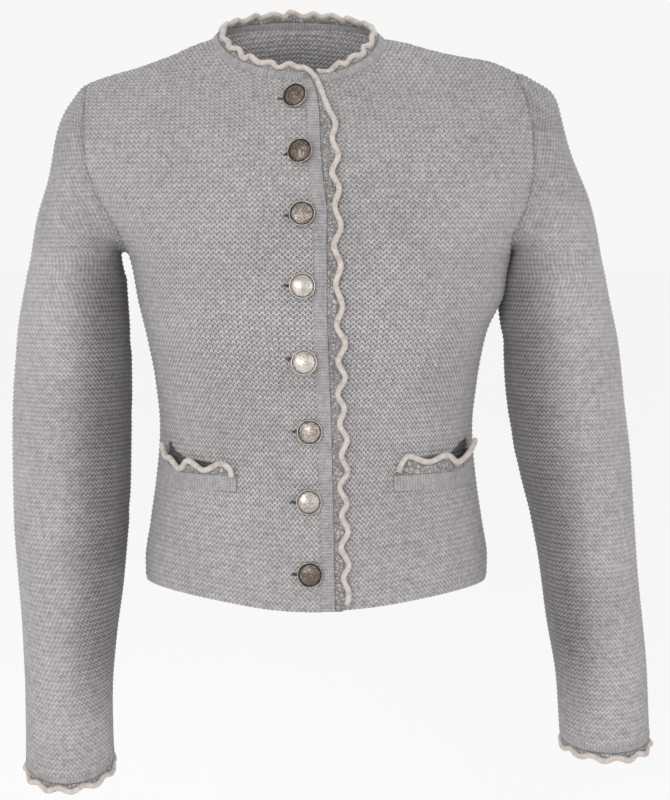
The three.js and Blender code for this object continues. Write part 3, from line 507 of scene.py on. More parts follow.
def half_panel(is_back, side, edge, neck, shoulder, finer):
    """Dense points of a panel's columns, from hem to seam, and their heights along the cloth."""
    low, high = (a[:, None] for a in column_shares(float(edge(-42.0)), neck, shoulder, finer))

    def across_at(z):
        return half_at(z) * np.sin(column_angle(low, high, edge, z))

    below, above = np.full(low.shape, -84.0), np.full(low.shape, 27.0)
    for _ in range(45):
        z = (below + above) / 2
        across = side * across_at(z)
        on_shoulder = np.abs(across) >= NECK_HALF - 1e-6
        top = np.where(on_shoulder, shoulder_at(across), neck_seam_z(across, is_back))
        below, above = np.where(z < top, z, below), np.where(z < top, above, z)
    hem = hem_z(across_at(np.full(low.shape, float(HEM_SIDE_Z))), is_back)
    t = np.linspace(0, 1, 240)[None, :]
    z = np.concatenate(
        [mix(hem, UNDERARM_Z, t), mix(UNDERARM_Z, below, 1 - (1 - t[:, 1:]) ** 2.4)], axis=1
    )
    dense = body_point(is_back, side * column_angle(low, high, edge, z), z)
    # The rows follow the hem, then they run level, and past the chest they follow the cloth.
    level = z + (HEM_SIDE_Z - hem) * (1 - smooth(z, HEM_SIDE_Z, -300))
    run = np.linalg.norm(np.diff(dense, axis=1), axis=-1)
    climb = np.where(z[:, 1:] > -80, run, np.diff(level, axis=1))
    heights = HEM_SIDE_Z + np.concatenate([np.zeros_like(hem), np.cumsum(climb, 1)], axis=1)
    return dense, heights


HALF_SEAM = 0.15  # half the gap between front and back
# The wearer's left arm presses on the body. Each row is a place (x, z), a reach and a distance.
BODY_SHAPES = [((163, -214), 24, 7.5), ((170, -186), 13, 5.0)]


def pushed(points, normals, shapes):
    """How far the side of the body or of a sleeve stands out, the same in front and behind."""
    moved = np.zeros(points.shape[:-1])
    for (x, z), reach, out in shapes:
        far = ((points[..., 0] - x) ** 2 + (points[..., 2] - z) ** 2) / reach**2
        moved += out * np.exp(-far) * smooth(np.hypot(normals[..., 0], normals[..., 2]), 0.2, 0.9)
    return moved


def finish_panel(name, dense, heights, is_back, lift, edges, folds, slits=(), mouth=None):
    normals = surface_normals(dense)
    if (normals[..., 1].mean() > 0) != is_back:
        normals = -normals
    on_seam = np.abs(dense[..., 1]) < 1e-3
    normals[..., 1] = np.where(on_seam, 0, normals[..., 1])
    normals = unit(normals)
    beyond = np.abs(dense[..., 0] - lean_at(dense[..., 2]))
    dense = dense + normals * lift(beyond)[..., None]
    dense[..., 1] += HALF_SEAM if is_back else -HALF_SEAM
    points, normals, high, last = knitted_rows(dense, normals, heights, BODY_RIDGE)
    relief = unevenness(points) + facing_only(points, normals, folds)
    bulge = pushed(points, normals, BODY_SHAPES)
    tops = high[np.arange(len(last)), last][:, None]
    pulled = np.exp(-(((tops - high) / 1.6) ** 2))
    for c, soft in edges:
        away = np.linalg.norm(points - points[c][None], axis=-1)
        pulled = np.maximum(pulled, soft * np.exp(-((away / 1.6) ** 2)))
    relief = relief * (1 - pulled) - 0.5 * pulled + bulge
    relief -= 0.8 * np.exp(-(((high - high[0, 0]) / 0.9) ** 2))
    # Painted shade along the seams and on the shoulders.
    shade = 0.1 * pulled + painted_shoulder_shade(points)
    # Painted shade in the pocket's open mouth, which is also hollowed.
    if mouth is not None:
        hollow = mouth(points)
        relief -= 2.2 * hollow
        shade = np.maximum(shade, 0.95 * hollow)
    for x, z in slits:
        run = np.clip(points[..., 0], x - 13.5, x)
        away = np.hypot(points[..., 0] - run, 1.25 * (points[..., 2] - z))
        cut = np.exp(-((away / 1.15) ** 2))
        relief += 0.45 * np.exp(-(((away - 2.4) / 0.9) ** 2)) - 2.4 * cut
        # Painted shade in the slit of each buttonhole.
        shade = np.maximum(shade, np.minimum(1, 1.5 * cut))
    return knit_shell(name, points, normals, high, last, relief, shade, BODY_RIDGE)


# %% [markdown]
# A pocket's mouth stands a little open, and the cloth behind its edge is in deep shade. The line of
# each cord is listed: its share of the way from the pocket's inner end to the side, and its
# height. Each front is hollowed a little and darkened behind that line.

# %% Pocket mouths
POCKET_Z = -377  # the lower edge of both welts
POCKET_INNER, POCKET_OUTER = 66, math.radians(80)
POCKET_CORDS = {
    "right": [
        (0.02, 11), (0.03, 16.5), (0.11, 22), (0.25, 15.5), (0.38, 22.5), (0.49, 15), (0.61, 23),
        (0.68, 23), (0.72, 28), (0.745, 34),
    ],
    "left": [
        (0.02, 15), (0.03, 18.5), (0.10, 28), (0.26, 22.5), (0.41, 27), (0.55, 20), (0.68, 25),
        (0.77, 32), (0.83, 36),
    ],
}
MOUTH_TOPS = {
    "right": curve_through((0, 0.1, 0.38, 0.5, 0.62, 0.72, 0.76), (12, 20, 23, 25, 29, 36, 37)),
    "left": curve_through((0, 0.1, 0.41, 0.55, 0.7, 0.86), (14, 24, 26, 28, 35, 39)),
}
POCKET_END = {"right": 0.75, "left": 0.85}


def pocket_angle(share):
    return mix(angle_at(POCKET_INNER, float(POCKET_Z)), POCKET_OUTER, share)


def pocket_mouth(name):
    def at(points):
        x, z = points[..., 0], points[..., 2]
        angle = angle_at(np.abs(x - lean_at(z)), z)
        share = (angle - pocket_angle(0)) / (pocket_angle(1) - pocket_angle(0))
        up = z - POCKET_Z
        over = smooth(MOUTH_TOPS[name](share) - up, -0.6, 0.8) * smooth(up, 4, 8)
        end = POCKET_END[name]
        return over * smooth(share, 0.03, 0.07) * (1 - smooth(share, end - 0.02, end))

    return at


print("pocket cords have", [len(rows) for rows in POCKET_CORDS.values()], "places")

# %% [markdown]
# Now the three panels can be knitted. A buttonhole is a short slit beside each button, with a
# raised rim where its stitches were cast off and on again. The folds run from the armholes to the
# chest and across the waist, where a fitted knit is pulled and let go.

# %% Knit the fronts and the back
BUTTON_HEIGHTS = (-54, -100, -150.5, -207.5, -267, -327.5, -385, -441.5)
RIGHT_EDGE, LEFT_UNDERLAP = 9.3, 20
BUTTON_X = [float(button_line(z) + lean_at(z)) for z in BUTTON_HEIGHTS]
SLIT_SHIFTS = ((2.5, -2.6), (4, -2.2), (0, -0.8), (0, 0), (0, 0), (1.5, 0), (0, 0), (0, -2.2))

# The ends of each fold are (x, z) seen from the front.
FRONT_FOLDS = [
    ((-188, -118), (-140, -172), 9, 1.3),
    ((-172, -160), (-128, -196), 8, 1.0),
    ((-150, -196), (-118, -232), 8, 0.7),
    ((196, -120), (150, -176), 9, 1.3),
    ((182, -164), (140, -200), 8, 1.0),
    ((160, -200), (128, -236), 8, 0.7),
    ((-120, -318), (-60, -335), 11, 0.7),
    ((130, -322), (70, -338), 11, 0.7),
]
BACK_FOLDS = [
    ((-186, -110), (-120, -165), 10, 1.3),
    ((194, -110), (128, -168), 10, 1.3),
    ((-110, -318), (-20, -330), 12, 1.2),
    ((120, -334), (30, -322), 12, 1.2),
    ((-60, -352), (70, -346), 12, 1.0),
]

slits = [(x + a, z + up) for x, z, (a, up) in zip(BUTTON_X, BUTTON_HEIGHTS, SLIT_SHIFTS)]
right_dense, right_high = half_panel(
    False, -1, lambda z: -button_line(z) - RIGHT_EDGE, 7, 6, 8
)
right_front = finish_panel(
    "right_front_knit", right_dense, right_high, False, lift_at, [(0, 0.2), (-1, 0.9)],
    FRONT_FOLDS, slits, pocket_mouth("right"),
)
left_dense, left_high = half_panel(False, 1, lambda z: button_line(z) - LEFT_UNDERLAP, 7, 6, 8)
left_front = finish_panel(
    "left_front_knit", left_dense, left_high, False, sink_at, [(-1, 0.9)], FRONT_FOLDS,
    (), pocket_mouth("left"),
)
back_left, back_left_high = half_panel(True, 1, lambda z: 0 * z, 5, 5, 8)
back_right, back_right_high = half_panel(True, -1, lambda z: 0 * z, 5, 5, 8)
back_dense = np.concatenate([back_right[:0:-1], back_left])
back_high = np.concatenate([back_right_high[:0:-1], back_left_high])
back = finish_panel(
    "back_knit", back_dense, back_high, True, lambda beyond: 0 * beyond, [(0, 0.9), (-1, 0.9)],
    BACK_FOLDS,
)
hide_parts("right_front")
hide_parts("left_front")
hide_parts("back")

# %% [markdown]
# ## Sleeves
# A set-in sleeve starts on the armhole seam, leaves it outwards over the shoulder and then hangs
# down. Below the underarm its sections are plain ovals from a table. Above, each column is a curve
# from a point of the armhole to a point of the first oval. A Bezier curve with two handles does
# this, and its handles say how full the cap is.

# %% Sleeve tables
RIGHT_SLEEVE = [  # height, outer edge, inner edge, middle, half depth, tip of the front in degrees
    (-205, -243, -157.5, 1, 50, 0),
    (-258, -252.5, -155, 3, 54, 0),
    (-310, -256.5, -154.5, 5, 54, 0),
    (-361, -257.5, -155.5, 6, 52, 0),
    (-413, -256.5, -157.5, 4, 50, 2),
    (-464, -253, -162, -2, 47, 5),
    (-516, -248, -168, -10, 43, 10),
    (-560, -245, -171, -18, 40.5, 15),
    (-611, -244.5, -169.5, -26.5, 40, 20),
]
LEFT_SLEEVE = [
    (-205, 254, 164.5, 1, 50, 0),
    (-228, 258.5, 162.5, 2, 52, 0),
    (-255, 264, 166, 3, 53, 0),
    (-292, 269, 168, 5, 54, 0),
    (-327, 273.5, 172.5, 6, 53, 0),
    (-361, 277.5, 179.5, 6, 51, 1),
    (-404, 280, 190, 4, 48.5, 2),
    (-447, 283, 198, -1, 46, 4),
    (-499, 287, 205, -9, 43.5, 6),
    (-550, 291, 213, -17, 41, 8),
    (-591, 292, 215.5, -25, 40.5, 10),
]


def sleeve_surface(rows):
    """A function of height and turn. The turn is 0 on the outside and 90 degrees at the front."""
    table = np.array(rows, float)
    outer, inner, middle, deep, tip = (curve_through(table[:, 0], table[:, i]) for i in range(1, 6))

    def at(z, turn):
        z = z + 0 * turn
        tipped = np.radians(tip(z))
        ahead = deep(z) * np.sin(turn)
        x = (outer(z) + inner(z)) / 2 + (outer(z) - inner(z)) / 2 * np.cos(turn)
        return np.stack([x, middle(z) - ahead * np.cos(tipped), z - ahead * np.sin(tipped)], -1)

    return at


right_sleeve_at, left_sleeve_at = sleeve_surface(RIGHT_SLEEVE), sleeve_surface(LEFT_SLEEVE)
print("the sleeves end at", RIGHT_SLEEVE[-1][0], "and", LEFT_SLEEVE[-1][0], "mm")

# %% [markdown]
# The armhole's line is taken from the panels that are already made, so the sleeve meets them
# without a gap. Its columns start at equal distances along that line and reach the first oval at
# equal turns.

# %% Columns of a sleeve
def upper_edge(dense, lift_normal, count):
    """count points at even distances along a panel's armhole, from the shoulder down."""
    z = dense[:, 2]
    line = dense[z >= UNDERARM_Z - 1e-6][::-1]
    face = lift_normal[z >= UNDERARM_Z - 1e-6][::-1]
    along = np.concatenate([[0], np.cumsum(np.linalg.norm(np.diff(line, axis=0), axis=1))])
    wanted = np.linspace(0, along[-1], count)
    return (
        np.stack([np.interp(wanted, along, line[:, i]) for i in range(3)], -1),
        unit(np.stack([np.interp(wanted, along, face[:, i]) for i in range(3)], -1)),
    )


def softened(values, reach):
    """Each place's mean with its neighbours, all the way round."""
    return sum(np.roll(values, step, 0) for step in range(-reach, reach + 1)) / (2 * reach + 1)


def sleeve_columns(side, surface, front, back, top_push, bicep, cuff, finer):
    """Dense points of a sleeve's columns, from the cuff to the armhole, and their heights."""
    count = 10 * finer
    front_line, front_normal = upper_edge(*front, count + 1)
    back_line, back_normal = upper_edge(*back, count + 1)
    ring = np.concatenate([front_line, back_line[-2:0:-1]])
    normal = np.concatenate([front_normal, back_normal[-2:0:-1]])
    turn = 2 * np.pi * np.arange(2 * count) / (2 * count)
    reach = finer // 2
    along = np.roll(ring, -reach, 0) - np.roll(ring, reach, 0)
    leaving = unit(softened(-side * unit(np.cross(along, normal)), finer))
    up = (1 + np.cos(turn)) / 2
    leave = leaving + np.stack([side * 0.8 * (1 - up), 0 * up, 0 * up], -1)
    leave = leave * mix(26, top_push, up)[:, None]
    end = surface(bicep, turn)
    below = unit(surface(bicep - 10, turn) - end)
    arrive = below * 0.75 * np.linalg.norm(end - ring, axis=-1)[:, None]
    start = ring + leaving * 0.3
    t = np.linspace(1, 0, 160)[None, :, None]
    a, b, c, d = (p[:, None] for p in (start, start + leave / 3, end - arrive / 3, end))
    cap = (1 - t) ** 3 * a + 3 * (1 - t) ** 2 * t * b + 3 * (1 - t) * t**2 * c + t**3 * d
    # Where the columns crowd at the top of the cap, each one is drawn towards its neighbours.
    free = smooth(t, 0, 0.15) * (1 - smooth(t, 0.85, 1))
    cap = mix(cap, softened(cap, finer), free)
    z = np.linspace(cuff, bicep, 300)[:-1]
    tube = surface(z[None, :], turn[:, None])
    dense = np.concatenate([tube, cap], axis=1)
    run = np.linalg.norm(np.diff(cap, axis=1), axis=-1)
    rise = np.maximum(np.diff(cap[..., 2], axis=1), 0.3 * run)
    climb = np.where(cap[:, 1:, 2] > -80, run, rise)
    level = np.broadcast_to(z, (2 * count, len(z)))
    cap_high = bicep + np.concatenate([np.zeros((2 * count, 1)), np.cumsum(climb, 1)], axis=1)
    return dense, np.concatenate([level, cap_high], axis=1)


def armhole_line(dense, is_back, column):
    """A panel's edge as the sleeve meets it, and the way that the panel faces there."""
    normals = surface_normals(dense)
    if (normals[..., 1].mean() > 0) != is_back:
        normals = -normals
    line = dense[column].copy()
    line[:, 1] += HALF_SEAM if is_back else -HALF_SEAM
    return line, normals[column]


# The caps are not quite the curves' shape. Each row is a place (x, z), a reach and a distance out.
CAP_SHAPES = {
    "right": [((-222, -116), 30, -4.0)],
    "left": [((206, -47), 19, 6.5), ((224, -100), 28, -5.0)],
}
print("places pushed in or out on the caps:", sum(len(rows) for rows in CAP_SHAPES.values()))

# %% [markdown]
# A sleeve's rows are level on the arm and follow the cloth over the cap. Its inner side, which
# faces the body, is darkened with painted shade. Its folds gather at the elbow and under the arm.

# %% Finish a sleeve

def knit_sleeve(name, dense, heights, folds, shapes):
    # The seam runs along the underarm, so the first column is turned there.
    half = len(dense) // 2
    dense, heights = np.roll(dense, half, 0), np.roll(heights, half, 0)
    normals = surface_normals(dense, wraps=True)
    middle = dense.mean(0, keepdims=True)
    if ((dense - middle) * normals).sum() < 0:
        normals = -normals
    points, normals, high, last = knitted_rows(dense, normals, heights, SLEEVE_RIDGE)
    relief = unevenness(points) + facing_only(points, normals, folds)
    relief += pushed(points, normals, shapes)
    tops = high[np.arange(len(last)), last][:, None]
    pulled = np.exp(-(((tops - high) / 2.0) ** 2))
    relief = relief * (1 - pulled) - 0.6 * pulled
    seam = np.exp(-((np.linalg.norm(points - points[0][None], axis=-1) / 1.8) ** 2))
    relief -= 0.5 * seam
    # Between the arm and the body the cloth gets painted shade, for the shadow that falls there.
    inwards = -np.sign(points[..., 0].mean()) * normals[..., 0]
    underarm_shade = smooth(inwards, -0.25, 0.75) * smooth(points[..., 2], -620, -500)
    underarm_shade = underarm_shade * (1 - smooth(high, -222, -160))
    # Painted shade along the seams, on the inner side and on the shoulders.
    shade = 0.14 * np.maximum(pulled, seam) + 0.5 * underarm_shade + painted_shoulder_shade(points)
    return knit_shell(name, points, normals, high, last, relief, shade, SLEEVE_RIDGE, True)


# %% Knit the sleeves
RIGHT_SLEEVE_FOLDS = [
    ((-150, -262), (-200, -240), 9, 1.4),
    ((-156, -326), (-205, -300), 8, 1.6),
    ((-156, -408), (-196, -384), 8, 1.5),
    ((-240, -300), (-222, -400), 11, 1.3),
    ((-232, -470), (-190, -452), 9, 1.0),
    ((-228, -120), (-205, -240), 12, 1.2),
]
LEFT_SLEEVE_FOLDS = [
    ((162, -262), (210, -240), 9, 1.4),
    ((174, -330), (222, -352), 9, 1.7),
    ((184, -366), (236, -344), 8, 1.8),
    ((192, -402), (240, -424), 8, 1.4),
    ((268, -300), (250, -390), 11, 1.1),
    ((236, -110), (216, -236), 12, 1.2),
]
SLEEVES = {}
for side, name, surface, table, dense, folds, top_push in (
    (-1, "right", right_sleeve_at, RIGHT_SLEEVE, right_dense, RIGHT_SLEEVE_FOLDS, 112),
    (1, "left", left_sleeve_at, LEFT_SLEEVE, left_dense, LEFT_SLEEVE_FOLDS, 160),
):
    front_line = armhole_line(dense, False, -1)
    back_line = armhole_line(back_dense, True, 0 if side < 0 else -1)
    columns, heights = sleeve_columns(
        side, surface, front_line, back_line, top_push, table[0][0], table[-1][0], 5
    )
    sleeve = knit_sleeve(f"{name}_sleeve_knit", columns, heights, folds, CAP_SHAPES[name])
    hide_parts(f"{name}_sleeve")
    SLEEVES[name] = sleeve

# %% [markdown]
# ## Strips and cords
# The edging is made of long narrow pieces. Each one is a small closed section that is swept along a
# line. For a strip the section is a rounded rectangle, and for a cord it is a circle.


# %% Sweep a section
def sweep(name, rings, closed, along, marks=None):
    """A closed mesh through rings of points. along is each ring's distance, for the texture."""
    count, around = rings.shape[:2]
    total = count if closed else count - 1
    r, k = (a.ravel() for a in np.meshgrid(np.arange(total), np.arange(around), indexing="ij"))
    r2, k2 = (r + 1) % count, (k + 1) % around
    v = np.stack([r * around + k, r2 * around + k, r2 * around + k2, r * around + k2], -1)
    wide = around + 1
    t = np.stack([r * wide + k, (r + 1) * wide + k, (r + 1) * wide + k + 1, r * wide + k + 1], -1)
    loop = np.concatenate([rings, rings[:, :1]], axis=1)
    step = np.linalg.norm(np.diff(loop, axis=1), axis=-1)
    across = np.concatenate([np.zeros((count, 1)), np.cumsum(step, 1)], axis=1)
    if closed:
        across = np.concatenate([across, across[:1]])
    texture = np.stack([across, np.broadcast_to(along[:, None], across.shape)], -1).reshape(-1, 2)
    faces = list(zip(v.tolist(), t.tolist()))
    if not closed:
        first = list(range(around))
        faces.append((first, first))
        end = [(count - 1) * around + n for n in first][::-1]
        faces.append((end, [(count - 1) * wide + n for n in first][::-1]))
    points = rings.reshape(-1, 3)
    quads = points[v]
    volume = np.einsum("ij,ij->", quads[:, 0], np.cross(quads[:, 1], quads[:, 2]))
    volume += np.einsum("ij,ij->", quads[:, 0], np.cross(quads[:, 2], quads[:, 3]))
    if volume < 0:
        faces = [(a[::-1], b[::-1]) for a, b in faces]
    return make_mesh(name, points, faces, texture, marks)


def strip_section(start, end, top, bottom, around=20, corner=0.45):
    """Out and high of a rounded rectangle's points, for every place along a strip."""
    turn = 2 * np.pi * np.arange(around) / around
    c, s = np.cos(turn), np.sin(turn)
    wide = (np.sign(c) * np.abs(c) ** corner)[None, :]
    tall = (np.sign(s) * np.abs(s) ** corner)[None, :]
    middle, half = (start + end) / 2, (end - start) / 2
    return middle[:, None] + half[:, None] * wide, (top + bottom) / 2 + (top - bottom) / 2 * tall


def cord_rings(line, normals, closed, radius):
    """Rings of a round cord about a line. The radius is an array of places and angles."""
    around = radius.shape[1]
    if closed:
        ahead = unit(np.roll(line, -1, 0) - np.roll(line, 1, 0))
    else:
        ahead = unit(np.gradient(line, axis=0))
    side = unit(np.cross(normals, ahead))
    up = np.cross(ahead, side)
    turn = 2 * np.pi * np.arange(around) / around
    out = np.cos(turn)[None, :, None] * side[:, None] + np.sin(turn)[None, :, None] * up[:, None]
    return line[:, None] + out * radius[..., None]


print("a strip has", strip_section(np.zeros(1), np.ones(1), 1, 0)[0].shape[1], "points around")


# %% [markdown]
# A knitted cord is a narrow tube of tiny stitches, so its thickness swells a little at every
# stitch. The swelling runs slightly askew round the cord, and that is what tells the eye it is not
# a pipe.

# %% Knitted cord
CORD_RADIUS = 2.4
CORD_STITCH = 2.7  # from one swelling to the next
CORD_AROUND = 12
print("the cord is", 2 * CORD_RADIUS, "mm thick")


def knitted_cord(name, line, normals, closed):
    step = np.linalg.norm(np.diff(line, axis=0), axis=1)
    if closed:
        step = np.append(step, np.linalg.norm(line[0] - line[-1]))
    along = np.concatenate([[0], np.cumsum(step)])
    turn = 2 * np.pi * np.arange(CORD_AROUND) / CORD_AROUND
    place = along[: len(line), None]
    swell = np.cos(2 * np.pi * place / CORD_STITCH + 2 * turn[None, :])
    slow = np.sin(place / 9.1) * np.sin(place / 5.3 + 1.1)
    radius = CORD_RADIUS * (1 + 0.08 * swell + 0.05 * slow)
    rings = cord_rings(line, normals, closed, radius)
    return sweep(name, rings, closed, along)


# %% [markdown]
# ## The edging's line
# The edging runs up the right front, turns the corner at the neck and goes all round the neck. One
# list of places describes this whole way, so that the band, the scallops and the cord keep in step.

# %% Places along the edging
NECK_TOP = {"half": 57.5, "front": 56, "back": 39, "side_z": 14, "front_z": -29, "back_z": 27}
CORNER_X = RIGHT_EDGE + float(button_line(NECK_SEAM["front"]))
CORNER_Z = float(neck_seam_z(CORNER_X, False))
NECK_START = -math.asin(CORNER_X / NECK_HALF)
NECK_END = 2 * math.pi + math.asin((LEFT_UNDERLAP - 8 - CORNER_X) / NECK_HALF)
up_front = np.arange(float(hem_z(0.0, False)) + 0.4, CORNER_Z, 0.9)
round_corner = np.linspace(0, np.pi / 2, 26)
round_neck = np.arange(NECK_START + 0.012, NECK_END, 0.012)
neckness = np.concatenate(
    [0 * up_front, round_corner / (np.pi / 2), np.ones(len(round_neck))]
)
print("the edging has", len(neckness), "places")

# %% [markdown]
# Up the front the edging lies on the body's surface. Round the neck it stands up from the neck
# seam towards a smaller, higher oval, as a knitted band does when it hugs a neck. At the corner it
# fans out through a quarter turn.

# %% The edging's surface

def neck_seam_point(turn):
    across = NECK_HALF * np.abs(np.sin(turn))
    side = np.where(np.sin(turn) > 0, -1, 1)
    made = []
    for is_back in (False, True):
        z = neck_seam_z(across, is_back)
        made.append(body_point(is_back, side * angle_at(across, z), z))
    return np.where((np.cos(turn) < 0)[..., None], made[1], made[0])


def neck_top_point(turn):
    c = np.cos(turn)
    deep = np.where(c > 0, -NECK_TOP["front"] * c, -NECK_TOP["back"] * c)
    middle_z = np.where(c > 0, NECK_TOP["front_z"], NECK_TOP["back_z"])
    z = mix(NECK_TOP["side_z"], middle_z, np.abs(c) ** 1.3)
    return np.stack([lean_at(z) - NECK_TOP["half"] * np.sin(turn), deep, z], -1)


def edging_base(out):
    """Points on the edging's surface. out has a row for each place, from the cloth's edge."""
    n_front, n_corner = len(up_front), len(round_corner)
    z = up_front[:, None] + 0 * out[:n_front]
    x = button_line(z) + RIGHT_EDGE + out[:n_front]
    front = body_point(False, angle_at(x, z), z)
    reach, turn = out[n_front : n_front + n_corner], round_corner[:, None]
    z = CORNER_Z + reach * np.sin(turn)
    corner = body_point(False, angle_at(CORNER_X + reach * np.cos(turn), z), z)
    reach, turn = out[n_front + n_corner :], round_neck[:, None]
    seam = neck_seam_point(turn + 0 * reach)
    z = seam[..., 2] + reach
    flat = body_point(False, angle_at(seam[..., 0] - lean_at(seam[..., 2]), z), z)
    standing = seam + unit(neck_top_point(turn + 0 * reach) - seam) * reach[..., None]
    near = (1 - smooth(turn - NECK_START, 0, 0.6))[..., None]
    return np.concatenate([front, corner, mix(standing, flat, near)])


away_from_centre = NECK_HALF * np.abs(np.sin(round_neck))
neck_lift = np.where(round_neck < np.pi / 2, lift_at(away_from_centre), 0)
neck_lift = np.where(round_neck > 1.5 * np.pi, sink_at(away_from_centre), neck_lift)
edging_lift = np.concatenate([np.full(len(up_front) + len(round_corner), LAP), neck_lift])


def edging(out, high):
    """Points and normals of the edging at out and high, each with a row for every place."""
    base = edging_base(out)
    across = edging_base(out + 0.5) - edging_base(out - 0.5)
    normal = unit(np.cross(across, np.gradient(base, axis=0)))
    return base + normal * (edging_lift[:, None] + high)[..., None], normal


mean_line = edging_base(mix(19.0, 12.5, neckness)[:, None])[:, 0]
edging_along = np.concatenate([[0], np.cumsum(np.linalg.norm(np.diff(mean_line, axis=0), axis=1))])
print("the edging is", round(edging_along[-1]), "mm long")

# %% [markdown]
# The cord winds in and out along the scallops. By hand no two scallops come out alike, so the
# crests and troughs of the front are in a table: their height, and how far out of the cloth's edge
# they are. Round the neck the scallops are smaller and crowded, and a slow sine makes them uneven.

# %% Crests and troughs of the cord
FRONT_CORD = [
    (-475, 18.5), (-460, 21.6), (-446.5, 17.8), (-437, 22.2), (-422, 16.2), (-409, 21.9),
    (-396, 17.1), (-386.5, 21.3), (-373, 16.0), (-360, 22.6), (-347, 17.9), (-334, 22.7),
    (-321, 17.2), (-307.5, 21.2), (-296, 16.5), (-281, 22.9), (-268, 18.0), (-253, 24.1),
    (-238, 17.8), (-223.5, 22.7), (-206, 17.6), (-191.5, 21.5), (-176, 16.0), (-161.5, 21.6),
    (-145.5, 16.9), (-131, 22.1), (-118.5, 18.0), (-104, 24.2), (-91, 20.0), (-79.5, 22.8),
]
NECK_STEP, NECK_WAVE = 9.0, 1.7  # from a crest to the next trough, and the height of each


def along_at_height(z):
    return np.interp(z, up_front, edging_along[: len(up_front)])


corner_from = edging_along[len(up_front)]
corner_to = edging_along[len(up_front) + len(round_corner)]
mid_corner = mix(corner_from, corner_to, 0.5)
steps = np.arange(int((edging_along[-1] - corner_to) / NECK_STEP))
neck_places = corner_to + NECK_STEP * (steps + 0.8 + 0.25 * np.sin(2.1 * steps))
turns = np.interp(neck_places, edging_along[-len(round_neck) :], round_neck)
neck_middle = curve_through(
    (-0.1, 0.5, 1.2, 1.6, 3.1, 4.7, 5.3, 5.9, 6.4),
    (10.8, 11.8, 13.0, 13.5, 14, 13.5, 12.8, 11.4, 10.4),
)(turns)
neck_outs = neck_middle + NECK_WAVE * (-1.0) ** steps * (1 + 0.35 * np.sin(1.3 * steps + 0.5))
front_places = along_at_height(np.array([z for z, _ in FRONT_CORD], float))
places = np.concatenate([front_places, neck_places])
tight = {  # the corner is drawn tight
    along_at_height(-66.0): 17.4, along_at_height(-54.0): 14.0, corner_from: 10.9,
    mid_corner: 9.3, corner_to: 10.0,
}
keys = np.concatenate([front_places, list(tight), neck_places])
outs = np.concatenate([[out for _, out in FRONT_CORD], list(tight.values()), neck_outs])
cord_out = curve_through(keys, outs)(edging_along)
wave_phase = np.pi * (np.interp(edging_along, places, np.arange(len(places))) - 0.5)
band_ends = [0, along_at_height(-70.0), along_at_height(-54.0), corner_from, mid_corner, corner_to]
band_out = curve_through(
    [*band_ends, corner_to + 40, edging_along[-1]], (10.5, 10.5, 9.4, 6.8, 5.4, 6.2, 7.2, 7.2)
)(edging_along)
print(len(places) // 2, "scallops")

# %% [markdown]
# The band is plain knitting with a flat rounded section. The scallops are crocheted onto its edge:
# a fan of ribs spreads in each, broken up into loops, and the hollows between the loops are dark.
# The cord is sewn along their rim.

# %% Band, scallops and cord of the edge
BAND_START = -0.8  # it laps over the panels' edges by this much
SEWN_GAP = 0.0  # from the band to the scallops
SCALLOP_END = 1.7  # the scallops end this far inside the cord's line


def painted_groove_shade(distance, strength, width=0.8):
    """Painted shade in the groove of a seam, by the distance from it."""
    return strength * np.exp(-((distance / width) ** 2))


out, high = strip_section(np.full(len(band_out), BAND_START), band_out, 0.4, -2.9)
band_rings, _ = edging(out, high + 0 * out)
# Painted shade along the band's outer edge.
marks = painted_groove_shade(band_out[:, None] - out, 0.2)
edge_band = sweep("edge_band_knit", band_rings, False, edging_along, marks.ravel())
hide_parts("edge_band")


def scallop_rings(place, start, end, along, phase, around=28):
    """A crocheted strip: fans of ribs that spread from the band, broken up into loops."""
    out, high = strip_section(start, end, -0.3, -2.6, around, 0.7)
    share = (out - start[:, None]) / (end - start)[:, None]
    fan = np.cos(5 * phase[:, None] + 2.2 * np.sin(phase)[:, None] * share)
    along = along[: len(out), None]
    loops = np.sin(1.7 * along + 1.4 * np.sin(1.3 * out))
    loops = loops * np.sin(1.8 * out + 1.2 * np.sin(0.8 * along))
    relief = np.where(high > -1.5, 0.4 * fan * share + 0.5 * loops, 0)
    rings, _ = place(out, high + relief)
    uneven = np.clip(0.6 + 0.4 * np.sin(0.37 * along) + 0.3 * np.sin(1.13 * along), 0, 1)
    # Painted shade in the hollows between the loops, and in the groove along the band.
    hollows = 0.9 * np.clip(-loops, 0, 1) * uneven
    return rings, np.maximum(painted_groove_shade(out - start[:, None], 0.75 * uneven), hollows).ravel()


start, end = band_out + SEWN_GAP, cord_out - SCALLOP_END
rings, marks = scallop_rings(edging, start, end, edging_along, wave_phase)
edge_scallops = sweep("edge_scallop_crochet", rings, False, edging_along, marks)
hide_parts("edge_scallops")

# The cord goes beneath the right front's edging at the end of the neck, so it dips there.
CORD_ENDS_AT = 2 * math.pi - 0.22
CORD_STARTS_AT = -470  # just above the hem
whole_corner = np.ones(len(round_corner), bool)
kept = np.concatenate([up_front > CORD_STARTS_AT, whole_corner, round_neck < CORD_ENDS_AT])
dipping = smooth(round_neck, 2 * np.pi - 0.5, CORD_ENDS_AT)
dip = np.concatenate([0 * up_front, 0 * round_corner, -2.2 * dipping])
line, line_normal = edging(cord_out[:, None], (dip - 0.4)[:, None])
edge_cord = knitted_cord("edge_cord_knit", line[kept, 0], line_normal[kept, 0], False)
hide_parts("edge_cord")

# %% [markdown]
# ## Cuffs and pockets
# The same three pieces, a band, scallops and a cord, finish the cuffs and the two pocket welts.
# Only the surface that they lie on changes. A cuff's edging goes on in the direction of the arm.


